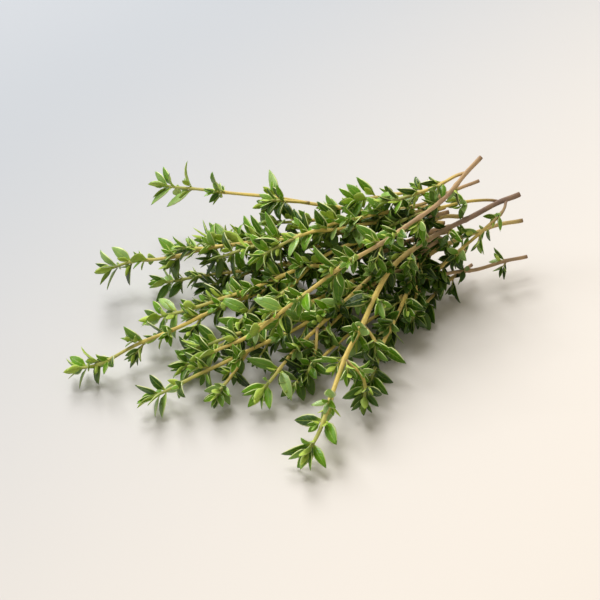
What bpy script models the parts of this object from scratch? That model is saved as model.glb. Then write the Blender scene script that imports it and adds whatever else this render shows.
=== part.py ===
"""A loose bunch of freshly cut thyme, lying on a level surface.

Each sprig is one solid: a tapered woody stem, its side shoots and its pairs of leaves, joined by
a Boolean union. The sprigs lie across each other without touching, and nothing ties them.

Frame: +X runs along the bunch towards the cut ends, +Z is up, and the origin is the middle of
the bunch's box at the height of the surface. Lengths are in metres unless a name says
millimetres.
"""

import math
from typing import NamedTuple

import bmesh
import bpy
import numpy as np
from mathutils import Matrix, Vector
from mathutils.bvhtree import BVHTree

MM = 0.001

# Stems and side shoots.
STEM_TIP_RADIUS = 0.42 * MM
STEM_TAPER = 0.5             # power of the way left to the tip that the radius falls with
SHOOT_RADIUS = 0.5 * MM
SPACING = 1.7 * MM           # between the points of a stem while the stems are moved apart
STEM_STEP = 3                # about every third of them becomes a point of the solid
STEM_CLEARANCE = 1.1 * MM    # free space wanted between two stems
STEM_LOWEST = 1.5 * MM       # from the surface to the underside of the lowest stem
SPREAD_ROUNDS = 120
LEVEL_PUSH = 0.25            # share of what a gap lacks that two stems move apart sideways
UPRIGHT_PUSH = 0.45          # and the share that each moves up or down
SMOOTH_ROUNDS = 4            # how often a move is evened out along its stem
SHOOT_BENDS = tuple(bend * MM for bend in (0, 1.5, -1.5, 3, -3, 5, -5, 8, -8))  # of its tip
SHOOT_BARE = 4 * MM          # from the stem to a side shoot's lowest leaves
SHOOT_TIP_BACK_MM = 3        # from a side shoot's growing tip to the reach of its leaves
SHOOT_NODES_MM = (4.5, 10, 18)
SHOOT_TURN = math.radians(45)    # between the first pairs of a stem and of its shoots in turn

# Leaves.
LEAF_LENGTH = 8.8 * MM
LEAF_WIDTH = 3.2 * MM
LEAF_THICKNESS = 0.7 * MM
LEAF_OPENING = math.radians(52)   # between a leaf and the stem above it
TUFT_MM = (0.8, 3.2)              # from the growing tip to the crowded pairs round it
PAIR_STEP = 10 * MM               # between the pairs below the ones that a sprig names
PAIR_TURN = math.radians(90)      # each pair stands across the one below it
YOUNG_SIZE = 0.55                 # of a leaf at the growing tip, against a grown one
GROWN_AT = 12.6 * MM              # from the growing tip to the first leaves that are full-grown
LEAF_SEAT = 0.15 * MM             # from the stem's axis to where a leaf starts

# Ways of setting a leaf that are tried in turn until one has free space.
LEAF_SHRINKS = (1.0, 0.8, 0.62)
LEAF_TWISTS = (0, 22, -22, 45, -45, 68, -68)   # about the stem, in degrees
LEAF_OPENING_SHARES = (1.0, 0.7, 1.3)
STEEPEST = -0.95                  # sine of the steepest fall of a leaf towards the surface

# Free space.
GAP = 0.3 * MM
FLOOR_GAP = 0.02 * MM

# The middle of the bunch's box, in the sprigs' own millimetres.
MIDDLE_MM = (3.1, -0.1, 0.0)


class Sprig(NamedTuple):
    """One cut stem with its side shoots. Everything is in millimetres, apart from the turn."""

    name: str
    cut_radius: float      # of the stem where it was cut
    bare: float            # length above the cut that has no leaves
    turn: float            # of a pair of leaves round the stem, in degrees from upright
    route: tuple           # points from the cut to the furthest reach of the leaves at the tip
    shoots: tuple = ()     # routes of the side shoots, each from a point on the stem
    tip_back: float = 5.0  # from the growing tip to that furthest reach
    nodes: tuple = (6.5, 12.5, 21.5, 32)   # from the growing tip to the pairs below the tuft


SPRIGS = (
    Sprig("sprig_top", 0.75, 12, 38,
          ((64, 2, 42), (49, -4, 36), (30, -10, 32), (8, -14, 28), (-9, -17, 22),
           (-24, -18, 16), (-40, -13, 8)),
          (((58, 0, 40), (54, 0.5, 39.5), (47.5, 0, 38), (42, 0.5, 36.5), (36, 2, 34.5),
            (30, 5, 33)),),
          5, (11.5, 18.5, 27, 35.5, 47.5)),
    Sprig("sprig_front", 0.9, 14, 87,
          ((77, -2, 27), (61, -4, 26), (47, -7, 25), (26, -13, 22), (8, -29, 17),
           (-2, -37, 14), (-15, -52, 9), (-25, -60, 5)),
          (((72, -3.5, 27), (68.5, -7, 26), (62.5, -7.5, 22), (52.5, -8.5, 16),
            (39.5, -9.5, 11), (32, -14, 8.5), (24, -21.5, 6)),
           ((70, -3, 27), (66, -1.5, 28), (59.5, -1, 29), (52, -1, 29.5), (42, -1, 29.5),
            (28, -2, 28)),
           ((8, -29, 17), (10, -33, 13), (7, -38, 10)),
           ((-2, -37, 14), (0.5, -41, 12.5), (1, -44.5, 10), (-0.5, -47.5, 7),
            (-2.5, -50, 5))),
          2.2, (10.5, 17.7, 32.3, 44.1, 56.8, 70.1)),
    Sprig("sprig_front_inner", 0.7, 9, 10,
          ((78, -4, 18), (68, -2.5, 17.5), (55, -2.5, 17), (42, -5, 16), (35, -11, 15),
           (23, -23, 12), (13, -32, 9), (2, -44, 5)),
          (((35, -11, 15), (31, -20, 11), (25, -27, 8)),)),
    Sprig("sprig_right_low", 0.62, 6, 50,
          ((77, -10, 8), (60, -9.5, 8.5), (44, -9.5, 9.5), (13, -19, 8), (-5, -27, 7),
           (-20, -34, 4)), (), 5, (6.5, 12.5, 21.5, 32, 44, 56, 66, 76.5, 89.5)),
    Sprig("sprig_upper_middle", 0.58, 9, 30,
          ((66, 5, 31), (48, 3, 30), (22, 5, 28), (-4, 14, 22), (-22, 23, 14))),
    Sprig("sprig_front_left", 0.72, 6, 65,
          ((58, 8, 14), (47, 5, 15), (27, -6, 15), (10, -14, 14), (-8, -22, 11),
           (-24, -31, 7), (-32, -36, 5)),
          (((-2, -19, 12), (-7, -27, 8), (-13, -33, 6)),), 8, (9.2, 19, 32.3)),
    Sprig("sprig_left_low", 0.72, 7, -52,
          ((57, 2, 12), (46, -1, 14), (13, -11, 13), (-10, -16, 11), (-36, -19, 9),
           (-46, -21, 8), (-58, -20, 5)),
          (((-24, -18, 10), (-33, -24, 7), (-40, -29, 5)),), 4.4, (9.1, 18.2, 30.2)),
    Sprig("sprig_leftmost", 0.75, 6, 38,
          ((55, 2, 17), (45, 3, 16), (10, 4, 14), (-19, 3, 12), (-48, 1, 8.5), (-63, -1, 7),
           (-73, 2, 5)),
          (((-12, 3, 12), (-22, 9, 10), (-30, 11, 8)),), 3.7,
          (6.7, 10.4, 21.2, 30.5, 40.2)),
    Sprig("sprig_middle_left", 0.7, 6, 55,
          ((58, 0, 23), (47, 2, 23), (6, 1, 20), (-15, 3, 15), (-31, 7, 11), (-46, 12, 7)),
          (((6, 1, 20), (-4, -4, 18), (-13, -6, 14)),)),
    Sprig("sprig_left_raised", 0.75, 6, 38,
          ((56, 8, 22), (32, 6, 22), (6, 15, 21), (-17, 24, 18), (-27, 27, 16),
           (-40, 34, 13), (-52, 37, 10)),
          (((-12, 22, 19), (-22, 23, 20), (-29, 27, 20)),), 5,
          (7.1, 12.3, 22.7, 34.2, 49.4)),
    Sprig("sprig_back_raised", 0.66, 7, 38,
          ((54, 4, 19), (43, 8, 21), (24.5, 20.5, 23), (9, 32.5, 24), (-13, 50, 23),
           (-24, 61, 21.5)),
          (((17, 26, 23), (9, 27, 26), (2, 29, 27)),), 5.7, (9.4, 20.4, 38, 57.8)),
    Sprig("sprig_back_short", 0.62, 5, 45,
          ((52, 9, 17), (40, 12, 18), (20, 20, 20), (-1, 26, 21))),
    Sprig("sprig_back_middle", 0.62, 6, 60,
          ((54, 6, 12), (40, 7, 14), (7, 18, 15), (-19, 37, 14)),
          (((-4, 25, 15), (-7, 34, 13), (-13, 40, 11)),)),
    Sprig("sprig_back_low", 0.62, 6, 25,
          ((56, 5, 8), (45, 8, 8), (12, 14, 10), (-12, 21, 9), (-37, 31, 5))),
    Sprig("sprig_centre_low", 0.62, 5, 75,
          ((50, 3, 12), (28, -2, 13), (-9, -9, 12), (-32, -10, 10), (-41, -8, 9))),
    Sprig("sprig_crown", 0.58, 4, 35,
          ((53, 3, 30), (43, 7, 32), (31, 11, 31), (22, 15, 29))),
    Sprig("sprig_middle", 0.68, 5, 50,
          ((52, -1, 27), (40, 0, 26), (29, 0, 25), (10, 2, 18), (-10, 0, 13),
           (-26, -7, 8))),
    Sprig("sprig_middle_low", 0.62, 5, 5,
          ((50, -2, 17), (36, -7, 16), (20, -10, 15), (1, -19, 11), (-14, -26, 7))),
    Sprig("sprig_front_low", 0.64, 5, 70,
          ((58, -3, 12), (46, -7, 11), (31, -13, 10), (17, -24, 7), (9, -33, 5))),
    Sprig("sprig_left_floor", 0.6, 6, 20,
          ((54, 6, 9), (39, 5, 8), (3, 2, 6), (-26, -6, 5), (-45, -11, 4))),
    Sprig("sprig_back_floor", 0.6, 5, 85,
          ((50, 15, 7), (37, 15, 7), (5, 21, 7), (-25, 22, 5))),
    Sprig("sprig_upper_left", 0.64, 5, 15,
          ((50, 4, 26), (38, 3, 27), (21, 5, 28), (5, 7, 27), (-12, 8, 21))),
    Sprig("sprig_right_floor", 0.6, 5, 60,
          ((61, -3, 5), (51, -7, 5), (41, -12, 5), (29, -20, 4))),
    Sprig("sprig_back_upper", 0.62, 5, 40,
          ((55, 12, 20), (45, 11, 23), (34, 11, 24), (18, 13, 22), (5, 22, 17),
           (-7, 33, 13))),
)


def remove_all_objects():
    """Empty the scene."""
    for item in list(bpy.data.objects):
        bpy.data.objects.remove(item, do_unlink=True)


def new_collection(name):
    """A collection linked to the scene."""
    collection = bpy.data.collections.new(name)
    bpy.context.scene.collection.children.link(collection)
    return collection


# ---------------------------------------------------------------- routes

def smooth_route(points_mm):
    """A Catmull-Rom curve through the points, read at equal steps of about SPACING."""
    points = (np.array(points_mm, float) - MIDDLE_MM) * MM
    ends = np.vstack([2 * points[0] - points[1], points, 2 * points[-1] - points[-2]])
    fine = []
    for a, b, c, d in zip(ends, ends[1:], ends[2:], ends[3:]):
        t = np.linspace(0, 1, 24, endpoint=False)[:, None]
        fine.append(0.5 * (2 * b + (c - a) * t + (2 * a - 5 * b + 4 * c - d) * t ** 2
                           + (3 * b - a - 3 * c + d) * t ** 3))
    fine = np.vstack(fine + [points[-1:]])
    along = np.concatenate([[0], np.cumsum(np.linalg.norm(np.diff(fine, axis=0), axis=1))])
    wanted = np.linspace(0, along[-1], max(6, round(along[-1] / SPACING) + 1))
    return np.stack([np.interp(wanted, along, fine[:, axis]) for axis in range(3)], axis=1)


def tapered(start_radius, count):
    """Radius at each point of a stem or shoot, thickest at its start."""
    left = np.linspace(1, 0, count)
    return STEM_TIP_RADIUS + (start_radius - STEM_TIP_RADIUS) * left ** STEM_TAPER


def cut_short(route, by_mm):
    """A route that ends earlier by a length, with as many points as before."""
    along = np.concatenate([[0], np.cumsum(np.linalg.norm(np.diff(route, axis=0), axis=1))])
    wanted = np.linspace(0, along[-1] - by_mm * MM, len(route))
    return np.stack([np.interp(wanted, along, route[:, axis]) for axis in range(3)], axis=1)


def solid_points(route):
    """Which points of a route the solid keeps."""
    return np.linspace(0, len(route) - 1, max(4, round(len(route) / STEM_STEP) + 1)).astype(int)


def upper_of(routes):
    """For each two strands, +1 where the first passes above the second, -1 where it is below."""
    order = np.ones((len(routes), len(routes)))
    for a, first in enumerate(routes):
        for b in range(a + 1, len(routes)):
            offset = first[:, None, :] - routes[b][None, :, :]
            nearest = np.argmin(np.linalg.norm(offset, axis=2))
            order[a, b] = 1.0 if offset.reshape(-1, 3)[nearest, 2] >= 0 else -1.0
            order[b, a] = -order[a, b]
    return order


def smoothed(values):
    """The values with each one drawn to its neighbours along the strand."""
    for _ in range(SMOOTH_ROUNDS):
        padded = np.pad(values, ((1, 1), (0, 0)), mode="edge")
        values = 0.25 * padded[:-2] + 0.5 * padded[1:-1] + 0.25 * padded[2:]
    return values


def spread_apart(routes, radii, owners):
    """Move crossing strands away from each other until they clear, and keep each one smooth.

    Two strands of different sprigs that come too near are pushed apart, mostly up and down, so
    that the one that passes above stays above.
    """
    counts = [len(route) for route in routes]
    strand, sprig = np.repeat(np.arange(len(routes)), counts), np.repeat(owners, counts)
    points, reach = np.vstack(routes), np.concatenate(radii)
    wanted = reach[:, None] + reach[None, :] + STEM_CLEARANCE
    wanted[sprig[:, None] == sprig[None, :]] = 0
    above = upper_of(routes)[strand[:, None], strand[None, :]]
    for _ in range(SPREAD_ROUNDS):
        offset = points[:, None, :] - points[None, :, :]
        distance = np.linalg.norm(offset, axis=2) + 1e-9
        lacking = np.clip(wanted - distance, 0, None)
        level = np.einsum("ij,ijk->ik", LEVEL_PUSH * lacking / distance, offset)[:, :2]
        upright = (UPRIGHT_PUSH * lacking * above).sum(axis=1)
        move = np.column_stack([level, upright])
        for number in range(len(routes)):
            move[strand == number] = smoothed(move[strand == number])
        points = points + move
        points[:, 2] = np.maximum(points[:, 2], reach + STEM_LOWEST)
    return [points[strand == number] for number in range(len(routes))]


def side_directions(route):
    """Tangents, and the upright direction across the stem at each point."""
    tangents = np.gradient(route, axis=0)
    tangents /= np.linalg.norm(tangents, axis=1)[:, None]
    sides = np.array([[0.0, 0.0, 1.0]]) - tangents * tangents[:, 2:3]
    sides /= np.linalg.norm(sides, axis=1)[:, None]
    return tangents, sides


def pair_distances(nodes, length):
    """Distances of the leaf pairs from the growing tip, closest together near the tip."""
    distances = [at * MM for at in TUFT_MM + nodes]
    while distances[-1] < length:
        distances.append(distances[-1] + PAIR_STEP)
    return [at for at in distances if at < length]


# ---------------------------------------------------------------- solids

def tube_object(name, route, radii, collection):
    """A closed tapered tube along a route, made a mesh."""
    curve = bpy.data.curves.new(name, "CURVE")
    curve.dimensions = "3D"
    curve.bevel_depth = 1.0
    curve.bevel_resolution = 1
    curve.use_fill_caps = True
    spline = curve.splines.new("POLY")
    spline.points.add(len(route) - 1)
    for point, place, radius in zip(spline.points, route, radii):
        point.co = (*place, 1)
        point.radius = radius
    holder = bpy.data.objects.new(name + "_curve", curve)
    collection.objects.link(holder)
    seen = holder.evaluated_get(bpy.context.evaluated_depsgraph_get())
    mesh = bpy.data.meshes.new_from_object(seen)
    bpy.data.objects.remove(holder, do_unlink=True)
    shape = bmesh.new()
    shape.from_mesh(mesh)
    bmesh.ops.remove_doubles(shape, verts=shape.verts, dist=1e-6)
    bmesh.ops.recalc_face_normals(shape, faces=shape.faces)
    shape.to_mesh(mesh)
    shape.free()
    mesh.name = name
    tube = bpy.data.objects.new(name, mesh)
    collection.objects.link(tube)
    return tube


def leaf_matrix(base, heading, upward, length, width, thickness):
    """Places a unit sphere as a leaf: its poles at the base and the tip, its keel downwards."""
    across = heading.cross(upward).normalized()
    face = across.cross(heading).normalized()
    turn = Matrix((across, face, heading)).transposed().to_4x4()
    size = Matrix.Diagonal((width / 2, thickness / 2, length / 2, 1))
    return Matrix.Translation(base + heading * (length / 2)) @ turn @ size


def leaf_shape(matrix):
    """One leaf as a sphere of three sides and three steps, drawn out by the matrix."""
    shape = bmesh.new()
    turned = matrix @ Matrix.Rotation(math.radians(-90), 4, "Z")
    bmesh.ops.create_uvsphere(shape, u_segments=3, v_segments=3, radius=1.15, matrix=turned)
    return shape


def triangles_of(mesh):
    """Corner places and triangles of a mesh, for a search tree."""
    mesh.calc_loop_triangles()
    return [v.co.copy() for v in mesh.vertices], [tuple(t.vertices) for t in mesh.loop_triangles]


def bent_to_floor(base, heading, length, half_thickness):
    """The heading, raised just enough for the leaf's tip to lie on the surface."""
    lowest = FLOOR_GAP + half_thickness
    if base.z + heading.z * length >= lowest:
        return heading
    rise = max(STEEPEST, (lowest - base.z) / length)
    flat = Vector((heading.x, heading.y, 0))
    if flat.length < 1e-6:
        flat = Vector((-1, 0, 0))
    return (flat.normalized() * math.sqrt(1 - rise * rise) + Vector((0, 0, rise))).normalized()


class LeafSpace:
    """Where the stems and leaves already are, so that a new leaf can be kept off them."""

    def __init__(self):
        self.trees = {}

    def add(self, owner, vertices, faces):
        """Remember a closed shape that belongs to a sprig."""
        self.trees.setdefault(owner, []).append(BVHTree.FromPolygons(vertices, faces))

    def free(self, tree, owner, own_stems):
        """True where the leaf meets no other sprig and none of its own sprig's other leaves."""
        for name, trees in self.trees.items():
            first = own_stems if name == owner else 0
            if any(other.overlap(tree) for other in trees[first:]):
                return False
        return True


def try_leaf(space, owner, own_stems, base, tangent, side, size):
    """The first way of setting a leaf that leaves a gap round it, as a shape, or None."""
    for shrink in LEAF_SHRINKS:
        length, width = LEAF_LENGTH * size * shrink, LEAF_WIDTH * size * shrink
        for twist in LEAF_TWISTS:
            turned = Matrix.Rotation(math.radians(twist), 3, tangent) @ side
            for opening in (LEAF_OPENING * share for share in LEAF_OPENING_SHARES):
                heading = tangent * math.cos(opening) + turned * math.sin(opening)
                heading = bent_to_floor(base, heading, length, LEAF_THICKNESS / 2)
                start = base + turned * LEAF_SEAT
                upward = (tangent - heading * tangent.dot(heading)).normalized()
                roomy = leaf_shape(leaf_matrix(
                    start - heading * GAP, heading, upward, length + 2 * GAP,
                    width + 2 * GAP, LEAF_THICKNESS + 2 * GAP))
                tree = BVHTree.FromBMesh(roomy)
                lowest = min(v.co.z for v in roomy.verts)
                roomy.free()
                if lowest < -GAP - FLOOR_GAP or not space.free(tree, owner, own_stems):
                    continue
                return leaf_shape(leaf_matrix(start, heading, upward, length, width,
                                              LEAF_THICKNESS))
    return None


def leaf_size(distance):
    """How big a leaf is against a grown one, by its distance from the growing tip."""
    return min(1.0, YOUNG_SIZE + (1 - YOUNG_SIZE) * distance / GROWN_AT)


def grow_leaves(space, owner, own_stems, route, nodes, bare, first_turn, leaves):
    """Set the pairs of leaves along a stem, from the tip down to the bare part."""
    along = np.concatenate([[0], np.cumsum(np.linalg.norm(np.diff(route, axis=0), axis=1))])
    tangents, sides = side_directions(route)
    for pair, distance in enumerate(pair_distances(nodes, along[-1] - bare)):
        at = along[-1] - distance
        base = Vector([np.interp(at, along, route[:, axis]) for axis in range(3)])
        tangent = Vector([np.interp(at, along, tangents[:, axis]) for axis in range(3)])
        side = Vector([np.interp(at, along, sides[:, axis]) for axis in range(3)])
        turn = first_turn + pair * PAIR_TURN
        for half in (0, math.pi):
            out = Matrix.Rotation(turn + half, 3, tangent.normalized()) @ side.normalized()
            shape = try_leaf(space, owner, own_stems, base, tangent.normalized(), out,
                             leaf_size(distance))
            if shape is None:
                continue
            mesh = bpy.data.meshes.new(owner + "_leaf")
            shape.to_mesh(mesh)
            shape.free()
            space.add(owner, *triangles_of(mesh))
            leaves.append(mesh)


def joined(meshes):
    """Several meshes in one bmesh."""
    shape = bmesh.new()
    for mesh in meshes:
        shape.from_mesh(mesh)
    return shape


def union(body, operand):
    """Join an operand to a body with a Boolean modifier, and apply it."""
    operand.hide_render = True
    operand.display_type = "WIRE"
    modifier = body.modifiers.new("join", "BOOLEAN")
    modifier.operation = "UNION"
    modifier.object = operand
    modifier.use_self = True
    seen = body.evaluated_get(bpy.context.evaluated_depsgraph_get())
    mesh = bpy.data.meshes.new_from_object(seen)
    body.modifiers.clear()
    body.data = mesh
    bpy.data.objects.remove(operand, do_unlink=True)


def grow_shoot(space, owner, stem, side, body, tools):
    """Join a side shoot to its stem, bent up or down where another stem is in its way."""
    nearest = np.argmin(np.linalg.norm(stem - side[0], axis=1))
    away = np.linspace(0, 1, len(side))
    side = side + (stem[nearest] - side[0]) * (1 - away[:, None])
    side = cut_short(side, SHOOT_TIP_BACK_MM)
    side = side[solid_points(side)]
    away = np.linspace(0, 1, len(side))
    radii = tapered(SHOOT_RADIUS, len(side))
    for bend in SHOOT_BENDS:
        bent = side.copy()
        bent[:, 2] += bend * away
        roomy = tube_object(owner + "_room", bent, radii + GAP, tools)
        tree = BVHTree.FromPolygons(*triangles_of(roomy.data))
        bpy.data.objects.remove(roomy, do_unlink=True)
        if bent[:, 2].min() < SHOOT_RADIUS + GAP or not space.free(tree, owner, 1):
            continue
        twig = tube_object(owner + "_shoot", bent, radii, tools)
        space.add(owner, *triangles_of(twig.data))
        union(body, twig)
        return bent
    print(owner, "has no room for a side shoot")
    return None


def leaf_material(name, shade):
    """Matt green, a little different for each sprig."""
    material = bpy.data.materials.new(name)
    material.use_nodes = True
    shader = material.node_tree.nodes["Principled BSDF"]
    shader.inputs["Base Color"].default_value = (0.12 * shade, 0.26 * shade, 0.07 * shade, 1)
    shader.inputs["Roughness"].default_value = 0.55
    shader.inputs["Metallic"].default_value = 0.0
    return material


def stand_on_surface(objects):
    """Move the whole bunch so that its box is centred over the origin and rests at height 0."""
    corners = np.array([v.co[:] for item in objects for v in item.data.vertices])
    low, high = corners.min(axis=0), corners.max(axis=0)
    shift = Vector((-(low[0] + high[0]) / 2, -(low[1] + high[1]) / 2, -low[2]))
    print("shift in mm:", [round(c / MM, 2) for c in shift])
    for item in objects:
        item.data.transform(Matrix.Translation(shift))


def main():
    """Build every sprig and stand the bunch on the surface."""
    remove_all_objects()
    bunch = new_collection("thyme_bundle")
    tools = new_collection("tools")

    strands, radii, owners = [], [], []
    for number, sprig in enumerate(SPRIGS):
        for points in (sprig.route, *sprig.shoots):
            main_stem = points is sprig.route
            strands.append(smooth_route(points))
            start = sprig.cut_radius * MM if main_stem else SHOOT_RADIUS
            radii.append(tapered(start, len(strands[-1])))
            owners.append(number)
    strands = spread_apart(strands, radii, owners)
    first = [owners.index(number) for number in range(len(SPRIGS))]

    space, bodies, stems, shoots = LeafSpace(), {}, {}, {}
    for number, sprig in enumerate(SPRIGS):
        route = cut_short(strands[first[number]], sprig.tip_back)
        radius = radii[first[number]]
        keep = solid_points(route)
        stems[sprig.name] = route[keep]
        bodies[sprig.name] = tube_object(sprig.name, route[keep], radius[keep], bunch)
        space.add(sprig.name, *triangles_of(bodies[sprig.name].data))
    for number, sprig in enumerate(SPRIGS):
        sides = strands[first[number] + 1:first[number] + 1 + len(sprig.shoots)]
        grown = [grow_shoot(space, sprig.name, stems[sprig.name], side, bodies[sprig.name], tools)
                 for side in sides]
        shoots[sprig.name] = [side for side in grown if side is not None]
    own_stems = {name: len(trees) for name, trees in space.trees.items()}

    for sprig in SPRIGS:
        name, turn, leaves = sprig.name, math.radians(sprig.turn), []
        grow_leaves(space, name, own_stems[name], stems[name], sprig.nodes, sprig.bare * MM,
                    turn, leaves)
        for number, side in enumerate(shoots[name], start=1):
            grow_leaves(space, name, own_stems[name], side, SHOOT_NODES_MM, SHOOT_BARE,
                        turn + number * SHOOT_TURN, leaves)
        shape = joined(leaves)
        mesh = bpy.data.meshes.new(name + "_leaves")
        shape.to_mesh(mesh)
        shape.free()
        operand = bpy.data.objects.new(name + "_leaves", mesh)
        tools.objects.link(operand)
        union(bodies[name], operand)
        print(name, len(leaves), "leaves")

    for index, (name, body) in enumerate(bodies.items()):
        body.data.materials.clear()
        body.data.materials.append(leaf_material(name, 0.85 + 0.3 * (index % 5) / 4))
        body.data.name = name
    stand_on_surface(list(bodies.values()))


main()
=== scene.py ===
"""Looks of a loose bunch of freshly cut thyme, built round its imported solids.

The bunch is two dozen sprigs lying across each other. Each sprig is three pieces: its woody stem
with its side shoots, its grown leaves, and the young leaves of its tip and of the small shoots
that stand between a grown leaf and the stem. The stems follow the same routes as the solids do,
and every piece takes the place of its sprig's solid.

Lengths are in metres unless a name says millimetres. +X runs towards the cut ends and +Z is up.
"""

import sys
import logging
import math
from dataclasses import dataclass, field
from enum import Enum
from typing import Mapping, NamedTuple, Sequence

import bpy
import numpy as np
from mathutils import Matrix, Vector


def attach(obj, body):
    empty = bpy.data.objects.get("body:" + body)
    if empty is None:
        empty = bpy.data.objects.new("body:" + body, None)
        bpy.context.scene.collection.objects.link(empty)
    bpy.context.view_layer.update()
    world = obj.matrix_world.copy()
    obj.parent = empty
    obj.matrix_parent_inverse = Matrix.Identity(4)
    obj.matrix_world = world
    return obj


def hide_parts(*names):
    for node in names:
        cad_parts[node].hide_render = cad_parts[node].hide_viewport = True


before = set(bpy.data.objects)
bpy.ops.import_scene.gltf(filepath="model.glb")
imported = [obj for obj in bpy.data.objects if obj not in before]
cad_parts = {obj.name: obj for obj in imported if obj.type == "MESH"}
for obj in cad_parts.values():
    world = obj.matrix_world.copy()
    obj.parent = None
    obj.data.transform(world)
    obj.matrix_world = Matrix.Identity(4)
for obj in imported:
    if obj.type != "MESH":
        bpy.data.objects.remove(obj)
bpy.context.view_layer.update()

LOG = logging.getLogger("thyme")
MM = 0.001
Array = np.ndarray
Colour = tuple[float, float, float]
Sockets = Mapping[str, bpy.types.NodeSocket]


# -------- the sprigs

class Bark(Enum):
    """Colour of a stem at its cut end."""

    TAN = (0.58, 0.39, 0.215)
    PURPLE = (0.31, 0.20, 0.14)
    OCHRE = (0.70, 0.53, 0.21)
    BROWN = (0.50, 0.34, 0.19)


class SprigPlan(NamedTuple):
    """One cut stem with its side shoots, in millimetres apart from the turn.

    Args:
        name: the sprig's solid.
        cut_radius: radius of the stem where it was cut.
        bare: length above the cut that has no leaves.
        turn: of the first pair of leaves round the stem, in degrees.
        route: points from the cut to the growing tip.
        shoots: routes of the side shoots, each from a point on the stem.
        bark: colour of the cut end.
        woodiness: how far up the bark's colour reaches, as a share of the stem.
        tip_back: from the growing tip to the furthest reach of the leaves round it.
        nodes: distances of the first pairs of leaves below the tuft at the growing tip.
        shed: share of the leaves that are gone near the cut.
        leaf: how big its leaves are against the bunch's.
    """

    name: str
    cut_radius: float
    bare: float
    turn: float
    route: tuple
    shoots: tuple = ()
    bark: Bark = Bark.OCHRE
    woodiness: float = 0.35
    tip_back: float = 5.0
    nodes: tuple = (6.5, 12.5, 21.5, 32)
    shed: float = 0.15
    leaf: float = 1.0


# The middle of the bunch's box, in the sprigs' own millimetres.
MIDDLE_MM = (3.1, -0.1, 0.0)

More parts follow.
